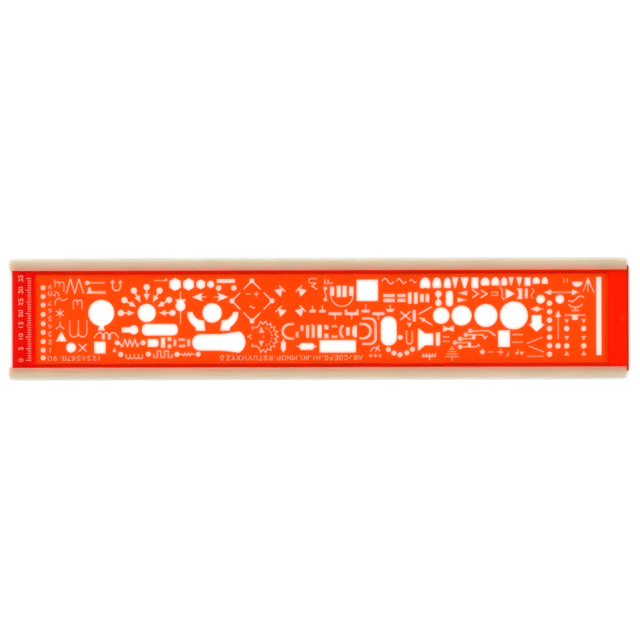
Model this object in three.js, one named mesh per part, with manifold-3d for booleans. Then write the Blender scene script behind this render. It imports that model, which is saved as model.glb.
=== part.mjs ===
// Symbol drawing template with two push-on edge rails.
// Millimetres, +Z up. The origin is the middle of the whole object, on the surface that the rails stand on.
// The long side lies along X, and the symbols read with +Y away from the user.
import * as THREE from 'three';
import { mergeVertices } from 'three/addons/utils/BufferGeometryUtils.js';
import Module from 'manifold-3d';

const wasm = await Module();
wasm.setup();

// Moulded plate: two end bands and two long rims stand above a thinner field
const PLATE_LENGTH = 264;
const PLATE_WIDTH = 45.7;
const PLATE_CORNER_RADIUS = 1;
const RIM_THICKNESS = 1.3;
const FIELD_THICKNESS = 0.8;
const RIM_WIDTH = 3.6;
const LEFT_BAND_LENGTH = 8.6;
const LEFT_SLOPE_LENGTH = 2;
const RIGHT_BAND_LENGTH = 8.4;
const RIGHT_SLOPE_LENGTH = 1.3;
const MIN_WEB = 0.5;

// Edge rails: a channel that the plate's long edge sits in
const RAIL_LENGTH = 264;
const RAIL_OVER_PLATE = 2.1;
const RAIL_OUTSIDE = 2.35;
const RAIL_FOOT_THICKNESS = 0.9;
const RAIL_LIP_THICKNESS = 0.7;
const RAIL_EDGE_RADIUS = 0.45;
const RAIL_LIP_BEVEL = 0.3;
const SLOT_FACE_GAP = 0.15;
const SLOT_END_GAP = 0.3;
const UPPER_RAIL_SHIFT = -0.8;
const LOWER_RAIL_SHIFT = -1.05;

// Widths of the drawn lines, and the round guide holes
const FINE_SLOT = 0.5;
const PEN_SLOT = 0.6;
const BROAD_SLOT = 0.95;
const LEFT_GUIDE_HOLE = 2.1;
const RIGHT_GUIDE_HOLE = 2.3;
const COMPASS_CIRCLES = [7.1, 8.6, 9.9, 12];

// Facets: a chord may lie this far inside its arc, and turns at most this many degrees
const CHORD_GAP = 0.08;
const MAX_TURN = 36;
// A corner is mitred up to this many half widths, and a cut runs this far past each face
const MITRE_LIMIT = 2;
const CUT_PAST_FACE = 1;

// Heights above the surface that the rails stand on
const plateUnderside = RAIL_FOOT_THICKNESS + SLOT_FACE_GAP;
const fieldTop = plateUnderside + FIELD_THICKNESS;
const rimTop = plateUnderside + RIM_THICKNESS;
const slotTop = rimTop + SLOT_FACE_GAP;
const railTop = slotTop + RAIL_LIP_THICKNESS;

// Where the plate's middle and its field lie
const leftmost = Math.min(-PLATE_LENGTH / 2, Math.min(UPPER_RAIL_SHIFT, LOWER_RAIL_SHIFT) - RAIL_LENGTH / 2);
const rightmost = Math.max(PLATE_LENGTH / 2, Math.max(UPPER_RAIL_SHIFT, LOWER_RAIL_SHIFT) + RAIL_LENGTH / 2);
const plateX = -(leftmost + rightmost) / 2;
const field = {
  left: -PLATE_LENGTH / 2 + LEFT_BAND_LENGTH + LEFT_SLOPE_LENGTH,
  right: PLATE_LENGTH / 2 - RIGHT_BAND_LENGTH - RIGHT_SLOPE_LENGTH,
  halfWidth: PLATE_WIDTH / 2 - RIM_WIDTH,
};

// Points of an arc about (x, y), in degrees anticlockwise from +X
function arc(x, y, radius, from, to) {
  const turn = Math.min(MAX_TURN, (2 * Math.acos(1 - CHORD_GAP / radius) * 180) / Math.PI);
  const steps = Math.max(2, Math.ceil(Math.abs(to - from) / turn));
  return Array.from({ length: steps + 1 }, (_, i) => {
    const angle = ((from + ((to - from) * i) / steps) * Math.PI) / 180;
    return [x + radius * Math.cos(angle), y + radius * Math.sin(angle)];
  });
}

// Points of a smooth line through the given ones, with a few steps to each
function curved(points, stepsEach = 3) {
  const spline = new THREE.SplineCurve(points.map(([x, y]) => new THREE.Vector2(x, y)));
  return spline.getPoints((points.length - 1) * stepsEach).map(({ x, y }) => [x, y]);
}

// One period of a sine line that starts at (x, y)
function wave(x, y, length, height, steps = 14) {
  return Array.from({ length: steps + 1 }, (_, i) => {
    const share = i / steps;
    return [x + length * share, y + (height / 2) * Math.sin(2 * Math.PI * share)];
  });
}

function polygon(points) {
  return new THREE.Shape(points.map(([x, y]) => new THREE.Vector2(x, y)));
}

function disc(x, y, diameter) {
  return polygon(arc(x, y, diameter / 2, 0, 360).slice(1));
}

function bar(x, y, width, height) {
  return roundBar(x, y, width, height, 0);
}

// A rectangle about (x, y) with rounded corners, which is a stadium at the full radius
function roundBar(x, y, width, height, radius = Math.min(width, height) / 2) {
  const reachX = width / 2 - radius;
  const reachY = height / 2 - radius;
  const corners = [[1, 1, 0], [-1, 1, 90], [-1, -1, 180], [1, -1, 270]];
  return polygon(corners.flatMap(([sideX, sideY, from]) => {
    const cornerX = x + sideX * reachX;
    const cornerY = y + sideY * reachY;
    return radius > 0 ? arc(cornerX, cornerY, radius, from, from + 90) : [[cornerX, cornerY]];
  }));
}

// An isosceles triangle about (x, y) whose tip points along heading degrees
function triangle(x, y, base, height, heading) {
  const angle = (heading * Math.PI) / 180;
  const corner = (along, across) => [
    x + along * Math.cos(angle) - across * Math.sin(angle),
    y + along * Math.sin(angle) + across * Math.cos(angle),
  ];
  return polygon([corner(height / 2, 0), corner(-height / 2, base / 2), corner(-height / 2, -base / 2)]);
}

// A slot of even width along a line of points, with square ends and mitred corners
function stroke(points, width = PEN_SLOT) {
  const half = width / 2;
  const headings = points.slice(1).map(([x, y], i) => {
    const run = Math.hypot(x - points[i][0], y - points[i][1]);
    return [(x - points[i][0]) / run, (y - points[i][1]) / run];
  });
  const sides = [[], []];
  points.forEach(([x, y], i) => {
    const before = headings[Math.max(0, i - 1)];
    const after = headings[Math.min(headings.length - 1, i)];
    const turn = before[0] * after[1] - before[1] * after[0];
    const lean = 1 + before[0] * after[0] + before[1] * after[1];
    const mitre = half / lean;
    const blunt = Math.sqrt(2 / lean) > MITRE_LIMIT;
    [1, -1].forEach((side, s) => {
      const outer = turn * side < 0;
      const corners = blunt && outer
        ? [before, after].map(([ux, uy]) => [-uy * half, ux * half])
        : [[-(before[1] + after[1]) * mitre, (before[0] + after[0]) * mitre]];
      corners.forEach(([dx, dy]) => sides[s].push([x + side * dx, y + side * dy]));
    });
  });
  return polygon([...sides[0], ...sides[1].reverse()]);
}

// A domed gate that points up: a half ellipse over a foot with drawn-in corners, nicked in its middle
function dome(x, top, width, height, notch = 0) {
  const shoulder = top - height * 0.66;
  const curve = arc(0, 0, height, 0, 180).map(([u, v]) => [
    x + (u * width) / (2 * height),
    shoulder + (v * (top - shoulder)) / height,
  ]);
  const bottom = top - height;
  const heel = bottom + height * 0.12;
  const heelReach = width * 0.48;
  const footReach = width * 0.4;
  const notchReach = width * 0.12;
  const foot = notch > 0
    ? [[x - notchReach, bottom], [x, bottom + notch], [x + notchReach, bottom]]
    : [];
  return polygon([
    ...curve, [x - heelReach, heel], [x - footReach, bottom], ...foot,
    [x + footReach, bottom], [x + heelReach, heel],
  ]);
}

// A plus sign or a saltire: two crossed strokes of one length
function cross(x, y, width, height, lineWidth) {
  return [
    stroke([[x - width / 2, y - height / 2], [x + width / 2, y + height / 2]], lineWidth),
    stroke([[x - width / 2, y + height / 2], [x + width / 2, y - height / 2]], lineWidth),
  ];
}

function plus(x, y, size, lineWidth) {
  return [bar(x, y, size, lineWidth), bar(x, y, lineWidth, size)];
}

function guideHoles(x, heights, diameter) {
  return heights.map((y) => disc(x, y, diameter));
}

// Half rings side by side, as in a coil: open downwards from 180 to 0 degrees, or upwards from 180 to 360
function halfRings(middles, y, radius, to, width = PEN_SLOT) {
  return middles.map((x) => stroke(arc(x, y, radius, 180, to), width));
}

function mirrored(points, middle) {
  return points.map(([x, y]) => [2 * middle - x, y]);
}

// Columns and rows of round guide holes
function guides() {
  const rightTop = 6.4;
  const rightPitch = 3.64;
  const rightColumn = Array.from({ length: 7 }, (_, i) => rightTop - i * rightPitch);
  const bowl = [[34.2, -8.1], [29.1, -13.3], [31.5, -14.8], [34.1, -15.5], [37, -14.7], [39.4, -13.2]];
  return [
    ...guideHoles(-118.8, [13.5, 9.8, 6.1, 2.1, -1.8, -5.6, -9.5, -13.2, -16.5], LEFT_GUIDE_HOLE),
    ...guideHoles(98.15, rightColumn, RIGHT_GUIDE_HOLE),
    ...guideHoles(101.8, [-11.9], RIGHT_GUIDE_HOLE),
    ...guideHoles(105.5, [-4.5, -11.9], RIGHT_GUIDE_HOLE),
    ...guideHoles(112.8, [-4.5, -11.9], RIGHT_GUIDE_HOLE),
    ...bowl.map(([x, y]) => disc(x, y, LEFT_GUIDE_HOLE)),
  ];
}

// Left end: hooks, springs, cups, lamp bulb and small shapes
function leftSymbols() {
  const cupMiddle = -103.72;
  const cupRadius = 1.85;
  const cupFoot = -5.7;
  return [
    stroke([[-113.8, 17], [-113.6, 15.2], [-113.6, 13.8]], FINE_SLOT),
    ...halfRings([-112.65, -110.8], 15, 0.95, 0, FINE_SLOT),
    bar(-111.75, 14.5, FINE_SLOT, 1.2),
    bar(-109.85, 13.45, FINE_SLOT, 3.3),
    stroke(curved([[-113.9, 11.9], [-112.5, 11.3], [-111.7, 10]], 2), FINE_SLOT),
    disc(-113.8, 10.35, 1.1),
    stroke(curved([[-113.6, 5.9], [-113.4, 7.9], [-112, 9], [-110.3, 8], [-108.4, 9]]), FINE_SLOT),
    stroke([[-108.75, 11], [-107.1, 17.4], [-105.15, 11], [-103.5, 17.4], [-101.4, 11]]),
    disc(-99.9, 15.6, 1.9),
    bar(-96.1, 15.6, 7.4, PEN_SLOT),
    bar(-96, 11.45, 8.2, BROAD_SLOT),
    bar(-98.9, 12.6, 1.3, 2),
    stroke([[-89, 16], ...arc(-87.35, 13.9, 1.65, 180, 360), [-85.7, 16]]),
    triangle(-89.05, 16.25, 2, 1.6, 90),
    triangle(-85.65, 16.15, 2, 1.6, 90),
    ...cross(-111.6, 2.65, 3.4, 2.1, FINE_SLOT),
    bar(-111.6, 2.65, FINE_SLOT, 4),
    stroke(curved([[-113.3, -4.2], [-111.5, -2.9], [-109.8, -4.2]]), FINE_SLOT),
    bar(-111.5, -1.9, FINE_SLOT, 2),
    triangle(-111, -7.3, 4.7, 4.3, 90),
    ...halfRings([-104.95, -103.05], 7.3, 0.9, 0, FINE_SLOT),
    bar(-105.85, 5.8, FINE_SLOT, 3.2),
    bar(-104, 6.7, FINE_SLOT, 1.4),
    bar(-102.15, 5.8, FINE_SLOT, 3.2),
    ...halfRings([cupMiddle - cupRadius, cupMiddle + cupRadius], cupFoot, cupRadius, 360, FINE_SLOT),
    ...[-1, 0, 1].map((side) => bar(cupMiddle + 2 * side * cupRadius, cupFoot / 2 - 0.2, FINE_SLOT, 5.4)),
    disc(-106.9, -12.1, 4.25),
    ...cross(-101.9, -12.2, 3.4, 3.3, FINE_SLOT),
    bar(-94.5, -12.1, 4.9, 5.1),
    disc(-93.9, 2.7, 11.2),
    polygon([[-95.3, -2], [-94.9, -3.5], [-95.5, -4.8], [-92.2, -4.8], [-92.8, -3.5], [-92.4, -2]]),
    stroke(curved([[-97, -8.1], [-96.1, -6.7], [-94.6, -5.75], [-93, -6.6]]), FINE_SLOT),
    stroke(curved([[-93, -6.6], [-91.75, -5.75], [-90.45, -6.6]]), FINE_SLOT),
    stroke(curved([[-90.45, -6.6], [-88.9, -5.75], [-87.4, -6.7], [-86.5, -8.1]]), FINE_SLOT),
    roundBar(-93, -7.55, 1.25, 2.5),
    roundBar(-90.45, -7.55, 1.25, 2.5),
    triangle(-88.3, -12.95, 1.8, 2.2, 90),
  ];
}

// Lamp with seven rays, each a dot, a stem and an arrow head
function rayedLamp() {
  const [x, y] = [-74.4, 2.65];
  const rays = Array.from({ length: 7 }, (_, i) => i * 30);
  return [
    disc(x, y, 7.8),
    ...rays.flatMap((heading) => {
      const angle = (heading * Math.PI) / 180;
      const at = (radius) => [x + radius * Math.cos(angle), y + radius * Math.sin(angle)];
      return [
        disc(...at(11.05), 2.65),
        stroke([at(8), at(10.2)]),
        triangle(...at(6.7), 2.5, 2.9, heading + 180),
      ];
    }),
  ];
}

// Left of the middle: slots, resistor, coil and pulse rows, hexagons
function leftRows() {
  const zigzag = [[-86.2, -10.1], [-84.8, -11.9], [-83.75, -8.5], [-82.7, -11.9], [-81.7, -8.5],
    [-80.6, -11.9], [-79.6, -8.5], [-78.5, -11.9], [-77.7, -10.3]];
  const coilPitch = 1.76;
  const coilTurns = Array.from({ length: 4 }, (_, i) => -82.4 + i * coilPitch);
  const coilLegs = Array.from({ length: 5 }, (_, i) => -82.4 + (i - 0.5) * coilPitch);
  const pulse = [[-71.4, -14.8], [-71.4, -16.4], [-69.9, -16.4], [-69.9, -13.7], [-68.4, -13.7],
    [-68.4, -16.4], [-66.8, -16.4], [-66.8, -13.7], [-65.2, -13.7], [-65.2, -16.4], [-63.6, -16.4],
    [-63.6, -15.1]];
  const smallCoil = [[-61, -15.1], [-59.2, -15.1], [-58.6, -15.7], [-58, -14.6], [-57.3, -15.7],
    [-56.6, -14.6], [-55.9, -15.7], [-55.3, -14.7], [-54.9, -15.1], [-53.7, -15.1]];
  // A hexagon with a corner at its top, which lies beyond its flats by 2 over the root of 3
  const hexagon = (x, acrossFlats) => {
    const reach = acrossFlats / Math.sqrt(3);
    const corners = Array.from({ length: 6 }, (_, i) => (i * Math.PI) / 3);
    return polygon(corners.map((angle) => [x - reach * Math.sin(angle), 14.85 + reach * Math.cos(angle)]));
  };
  return [
    disc(-80, -4.6, 3.9),
    bar(-82.6, -4.6, 5, 2.3),
    roundBar(-68.8, -4.55, 15.4, 4.95, 2.1),
    disc(-87.1, -10.1, 2.1),
    stroke(zigzag),
    disc(-76, -10.1, 2.2),
    polygon([
      [-74.05, -8.55], [-74.05, -11.95],
      ...arc(-70.6, -10.7, 1.25, 270, 360),
      ...arc(-70.6, -9.8, 1.25, 0, 90),
    ]),
    bar(-67.45, -10.1, 1.8, 4.3),
    roundBar(-64.7, -8.6, 1.7, 1.7, 0.6),
    roundBar(-64.7, -11.7, 1.7, 1.7, 0.6),
    bar(-62.35, -10.15, 1.2, 2.9),
    bar(-56.45, -10.15, 1.2, 2.9),
    roundBar(-59.35, -8.8, 3, 1.1),
    roundBar(-59.3, -11.55, 3, 1.1),
    disc(-85.6, -15.1, 2.2),
    ...halfRings(coilTurns, -16, coilPitch / 2, 360, FINE_SLOT),
    ...coilLegs.map((x) => bar(x, -15.5, FINE_SLOT, 1.1)),
    disc(-73.75, -15.05, 2.2),
    stroke(pulse),
    disc(-61.5, -15.1, 2.2),
    stroke(smallCoil, FINE_SLOT),
    disc(-52.4, -15.1, 2.1),
    bar(-69.2, 16.5, 4.3, FINE_SLOT),
    polygon([[-67.3, 16.75], [-66.2, 17.5], [-65.2, 16.85], [-66.1, 16.15], [-67.3, 16.25]]),
    hexagon(-62.2, 4.85),
    hexagon(-56.45, 4.6),
    hexagon(-51.25, 3.7),
    hexagon(-47, 2.9),
    bar(-40.5, 16.25, 7.8, 1.6),
    disc(-43.55, 13.25, 2.35),
    disc(-37.05, 13.25, 2.3),
  ];
}

// Valve envelope and its two shields, arrows and the horn
function valveSymbols() {
  const shield = [[-57, 3], [-56.9, 1.2], [-56.2, -0.7], [-54.9, -2.4], [-53.4, -3.6], [-53.4, -5],
    [-49.3, -5], [-49.9, -0.6], [-51.3, -0.5], [-52.7, 0], [-53.8, 1], [-54.5, 2], [-54.8, 3]];
  const arrow = [[-55.1, 9.4], [-50.2, 7.5], [-51.1, 9.1], [-48.8, 9.1], [-48.8, 9.7], [-51.1, 9.7],
    [-50.2, 11.3]];
  const mirrorX = -46.1;
  const arrowMirrorX = -47.2;
  return [
    disc(-46.4, 2.6, 8.3),
    polygon(shield),
    polygon(mirrored(shield, mirrorX).reverse()),
    polygon(arrow),
    polygon(mirrored(arrow, arrowMirrorX).reverse()),
    bar(-59.9, 4.8, FINE_SLOT, 14),
    polygon([[-62.1, 8.5], [-61.8, 7.5], [-61, 7.2], [-58.8, 7.2], [-58, 7.5], [-57.7, 8.5]]),
    disc(-59.95, 5.55, 4.3),
    polygon([
      ...arc(-51.5, -10.05, 3.5, 90, 270),
      [-42.5, -13.55], [-39, -13.9], [-35, -14.5],
      [-33.7, -13.6], [-32.6, -12], [-32.1, -9.9], [-32.6, -7.8], [-33.6, -6.2], [-34.9, -5.35],
      [-39, -6], [-42.5, -6.5],
    ]),
  ];
}

// Bridge of four corner pads with open arms, and the four diodes beside it
function bridgeSymbols() {
  const [x, y] = [-29.3, 7.7];
  const reach = 8.6;
  const armFrom = 0.5;
  const armTo = 3.6;
  const arms = [[1, 0], [0, 1], [-1, 0], [0, -1]].flatMap(([ux, uy]) => [1, -1].map((side) => {
    const at = (run) => [
      x + ux * (reach - run) - uy * side * run,
      y + uy * (reach - run) + ux * side * run,
    ];
    return stroke([at(armFrom), at(armTo)], FINE_SLOT);
  }));
  const diode = (cx, cy, heading) => {
    const angle = (heading * Math.PI) / 180;
    const [ux, uy] = [Math.cos(angle), Math.sin(angle)];
    const tip = 1.55;
    const barReach = 1.85;
    return [
      triangle(cx + ux * 0.25, cy + uy * 0.25, 3.9, 3.2, heading),
      stroke([
        [cx + ux * tip - uy * barReach, cy + uy * tip + ux * barReach],
        [cx + ux * tip + uy * barReach, cy + uy * tip - ux * barReach],
      ], FINE_SLOT),
    ];
  };
  return [
    ...arms,
    roundBar(x, y + reach, 1.9, 2, 0.5),
    roundBar(x, y - reach, 1.9, 2, 0.5),
    disc(x - reach, y, 2.1),
    disc(x + reach, y, 2.1),
    bar(-30.9, 10.65, 2, FINE_SLOT),
    ...plus(-27.4, 10.6, 2, FINE_SLOT),
    disc(-27.4, 10.6, 1),
    stroke(wave(-30.2, 5, 2.1, 0.9, 10), FINE_SLOT),
    ...diode(-17.4, 11.8, 45),
    ...diode(-16.8, 3.1, 135),
    ...diode(-8.1, 11.8, 135),
    ...diode(-8.6, 3.2, 45),
  ];
}

// Round resistor: a toothed arc about a ring of small index holes
function ringResistor() {
  const [x, y] = [-24.9, -7.7];
  const teeth = 11;
  const innerRadius = 5.5;
  const outerRadius = 6.8;
  const spread = 194;
  const polar = (radius, degrees) => {
    const angle = (degrees * Math.PI) / 180;
    return [x + radius * Math.cos(angle), y + radius * Math.sin(angle)];
  };
  const zigzag = Array.from({ length: teeth * 2 - 1 }, (_, i) => {
    const radius = i % 2 === 0 ? outerRadius : innerRadius;
    return polar(radius, spread / 2 - (spread * i) / (teeth * 2 - 2));
  });
  const lead = [[-29.5, -3.4], [-27.8, -3.8], [-26.4, -2.9]];
  const indexHoles = Array.from({ length: 8 }, (_, i) => disc(...polar(4.1, 65 - i * 18.6), 0.75));
  return [
    stroke([...lead, ...zigzag, ...lead.map(([leadX, leadY]) => [leadX, 2 * y - leadY]).reverse()], FINE_SLOT),
    stroke([[-29.4, -3.5], [-28.8, -4.7]], FINE_SLOT),
    stroke([[-29.4, -11.8], [-28.9, -10.6]], FINE_SLOT),
    ...indexHoles,
    disc(-24.5, -7.7, 0.85),
    triangle(-25.3, -4.65, 2.3, 2.6, 90),
    triangle(-25.35, -10.7, 2.3, 2.6, 270),
    stroke([[-29.5, -6.7], [-31, -7.6], [-29.5, -8.5]], FINE_SLOT),
  ];
}

// Middle: brackets, capacitor plates, blocks and electrodes
function middleSymbols() {
  const bracketTop = -2.35;
  const bracketRadius = 3.05;
  const outerGap = 2.4;
  const innerBracket = (endX, middleX, side) => [
    [endX, bracketTop],
    ...arc(middleX, bracketTop - bracketRadius, bracketRadius, 90, 90 + side * 180),
    [endX, bracketTop - 2 * bracketRadius],
  ];
  const electrode = (x, y, width, stemTo, height = 1.15) => [
    roundBar(x, y, width, height, 0.3),
    bar(x, (y + stemTo) / 2, FINE_SLOT, Math.abs(stemTo - y)),
  ];
  return [
    polygon([[-15.9, -9.1], [-16.95, -10.1], [-16.95, -13.2], [-15.9, -14.2], [-14.85, -13.2],
      [-14.85, -10.1]]),
    bar(-15.9, -11.6, FINE_SLOT, 5.9),
    stroke(innerBracket(-11.4, -13.1, 1), BROAD_SLOT),
    bar(-9.95, -6.75, 1.1, 2.5),
    roundBar(-7.9, -4, 1.2, 2.5, 0.4),
    bar(-5.5, -5.45, 1.2, 5.5),
    polygon([[-3.7, -8.2], [-2.5, -8.2], [-2.5, -3.2], [-3.2, -2.4], [-4.1, -2.4], [-3.7, -3.2]]),
    bar(-0.4, -5.45, 1.8, 5.7),
    bar(2.55, -3.65, 1.75, 1.85),
    bar(2.55, -7.35, 1.75, 2),
    polygon([[4.8, -3.9], [4.9, -3.1], [5.5, -2.75], [6.5, -2.75], [7.1, -3.1], [7.2, -3.9], [6, -3.65]]),
    polygon([[4.8, -7.1], [4.7, -8.2], [7.3, -8.2], [7.2, -7.1], [6, -7.25]]),
    stroke([[9.8, -2.9], [8.8, -4], [8.5, -5.5], [8.8, -7], [9.8, -8.1]], BROAD_SLOT),
    bar(11.75, -5.45, 1.45, 3.6),
    polygon([
      [15.55, -2.85], [14.6, -2.85], [13.9, -3.7], [13.6, -5.45],
      [13.9, -7.2], [14.6, -8.05], [15.55, -8.05],
    ]),
    stroke(innerBracket(16.7, 18.4, -1), BROAD_SLOT),
    stroke([
      [17.9, bracketTop + outerGap],
      ...arc(21.2, bracketTop, outerGap, 90, 0),
      ...arc(21.2, bracketTop - 2 * bracketRadius, outerGap, 0, -90),
      [17.9, bracketTop - 2 * bracketRadius - outerGap],
    ], BROAD_SLOT),
    polygon([[-9.5, -11.85], [-8.3, -10.4], [-3.5, -10.4], [-2.3, -11.85], [-3.5, -13.35], [-8.3, -13.35]]),
    bar(-6, -11.85, 8.9, FINE_SLOT),
    bar(7.4, -11.85, 15.65, 5.35),
    bar(20.1, 12.1, 9.2, 9.2),
    stroke([
      [-1.3, 17.15], ...arc(-3.9, 16.2, 0.95, 90, 270), [-1.9, 15.25], [-3.5, 13.9], [-1.3, 12.5],
    ], FINE_SLOT),
    bar(3.5, 15.2, 4, PEN_SLOT),
    bar(1.95, 16.1, FINE_SLOT, 1.9),
    bar(3.4, 16, FINE_SLOT, 1.6),
    disc(2.1, 12.95, 1.65),
    stroke(curved([[1.85, 12.8], [1.95, 11.4], [2.4, 9.6], [2.2, 8.4]], 2), FINE_SLOT),
    disc(2.15, 8.15, 1.6),
    ...electrode(-3.35, 3.25, 2.8, 5.6),
    ...electrode(0.85, 3.2, 2.75, 5.8),
    ...electrode(6.3, 2.1, 5.7, -0.4),
    ...electrode(13.4, 2.1, 5.9, -0.4),
    bar(10.95, 3.1, 1, 1.6),
    bar(15.85, 3.1, 1, 1.6),
    ...electrode(19.4, 3.2, 3.5, 6.1),
    ...electrode(24.85, 2.1, 5.2, -0.5),
    polygon([[27.85, 4.1], [28.9, 2.85], [30.9, 2.85], [31.95, 4.1]]),
    bar(29.9, 4.7, FINE_SLOT, 2.4),
  ];
}

// Comb over a half round, and the dial with its three terminals
function combAndDial() {
  return [
    bar(5.05, 11.8, 1.7, 4),
    bar(7.9, 11.7, 1.7, 4.9),
    bar(10.35, 11.7, 1.7, 4.9),
    bar(13.25, 11.8, 1.9, 4),
    stroke(arc(9.25, 10, 4.7, 180, 360), FINE_SLOT),
    stroke(arc(23.5, -14.3, 1.9, 175, 5), FINE_SLOT),
    stroke([[23.5, -14.1], [25.1, -11.4]], FINE_SLOT),
    ...[21.5, 23.5, 25.45].map((x) => disc(x, -15.9, 1.25)),
  ];
}

// Right of the middle: waves, pairs of bars, loudspeaker, earths
function rightOfMiddle() {
  const twinBars = (x, width) => [bar(x, 9.85, width, 1.25), bar(x, 7.75, width, 1.35)];
  const hatch = Array.from({ length: 5 }, (_, i) => {
    const x = 44 + i * 1.3;
    return stroke([[x - 0.4, -16.1], [x + 0.3, -15]], FINE_SLOT);
  });
  const earthBars = [[-13.2, 2.2], [-14.2, 3.6], [-15.3, 4.8], [-16.4, 6]];
  return [
    stroke(wave(26.4, 16, 5.1, 2.3), FINE_SLOT),
    stroke(wave(32.7, 16, 4.1, 2), FINE_SLOT),
    stroke(wave(38.2, 16, 3, 1.3), FINE_SLOT),
    ...twinBars(29.4, 4.9),
    ...twinBars(34.75, 3.55),
    bar(38.3, 8.75, 1.55, 4.9),
    bar(40.9, 8.75, 1.55, 5),
    bar(43.5, 8.75, 1.55, 3.5),
    bar(45.85, 8.75, 1.55, 3.6),
    ...cross(36.4, 1.2, 4.4, 3.7, PEN_SLOT),
    bar(40.2, 1.15, 1.3, 4.9),
    stroke([[42, 1.8], [47.8, 5]]),
    stroke([[43.5, -0.3], [47.9, -2.8]]),
    triangle(43.3, -0.15, 2, 2.8, 151),
    triangle(38.1, -2.9, 2.2, 2, 270),
    stroke([[36.85, -5.2], ...arc(38.1, -9.6, 1.25, 180, 360), [39.35, -5.2]]),
    roundBar(29.25, -5.3, 6.8, 12.5, 3.2),
    polygon([[41.75, -4.3], [41.75, -13.7], [42.3, -13.7], [44.7, -11.5], [48.35, -11.5], [48.35, -6.35],
      [44.7, -6.35], [42.3, -4.3]]),
    bar(50.35, -8.85, 1.75, 5.8),
    polygon([[52.5, -3.1], [52.5, -5.8], [54.85, -4.8], [57.2, -5.8], [57.2, -3.1], [54.85, -4.15]]),
    bar(53.85, -7.95, 3, PEN_SLOT),
    bar(53.85, -9.75, 3, PEN_SLOT),
    bar(46.55, -16.3, 6.1, PEN_SLOT),
    ...hatch,
    bar(46.8, -17.1, FINE_SLOT, 1.7),
    ...earthBars.map(([y, width]) => bar(56.4, y, width, FINE_SLOT - 0.05)),
    bar(56.4, -12.6, FINE_SLOT, 1.3),
    bar(56.4, -17.3, FINE_SLOT, 1.7),
  ];
}

// Circles for the compass work, and the row of gates above them
function gatesAndCircles() {
  const middles = [51.75, 60.5, 70.9, 82.9];
  const rowTop = 17.6;
  const funnel = (x, width, height) => {
    const spout = width / 8;
    const bottom = rowTop - height;
    const mouth = width / 2;
    return polygon([[x - mouth, rowTop], [x - spout, bottom], [x + spout, bottom], [x + mouth, rowTop]]);
  };
  return [
    ...middles.map((x, i) => disc(x, 1.2, COMPASS_CIRCLES[i])),
    dome(44.9, rowTop - 0.1, 4.5, 4.6, 0.5),
    dome(49.95, rowTop - 0.1, 3.8, 4.5, 0.35),
    dome(54.45, rowTop - 0.1, 3.05, 4.5),
    funnel(57.75, 2.7, 4.6),
    funnel(61.85, 3.6, 4.7),
    bar(66.25, 15.2, 3, 4.7),
    dome(70.65, rowTop - 0.1, 3.8, 3.5, 0.35),
    dome(75, rowTop, 3.5, 3.6, 0.35),
    dome(78.75, rowTop, 2.65, 3.6),
    funnel(81.7, 2.3, 3.6),
    funnel(85.25, 2.6, 3.6),
    bar(88.8, 15.65, 2.6, 3.7),
    dome(92.5, rowTop, 3.1, 2.9, 0.3),
    dome(96.2, rowTop, 2.65, 2.9),
    disc(50.55, 10.5, 2.75),
    disc(50.55, 6.65, 2.75),
    bar(50.55, 8.6, PEN_SLOT, 2),
    roundBar(55.3, 8.5, 3.05, 6.7, 1.3),
    polygon([[58.6, 10.8], [63, 9.8], [63, 11.85]]),
    polygon([[58.7, 8.9], [58.7, 6.9], [63.1, 7.85]]),
    stroke([[65.1, 12.3], [67.6, 10.5], [65.1, 8.8]]),
    stroke([[68.8, 12.1], [71.4, 10.4], [68.7, 8.8]]),
    stroke([[73, 11.15], [75.9, 11.15], [75.9, 9.8], [73, 9.8]], FINE_SLOT),
    stroke(curved([[76.9, 13.3], [77.75, 12.2], [77.95, 10.5], [77.95, 9], [78.8, 7.9]]), PEN_SLOT),
    triangle(81.4, 10.5, 4.4, 4, 0),
    polygon([...curved([[84.1, 12.8], [84.85, 11.6], [84.95, 10.5], [84.85, 9.4], [84.1, 8.2]], 2),
      [86.45, 8.2], [86.45, 12.8]]),
    bar(88.25, 10.6, 1.2, 4.3),
    stroke(curved([[90.7, 12.8], [91.4, 11.4], [90.4, 9.9], [91, 8.4]]), FINE_SLOT),
  ];
}

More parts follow.
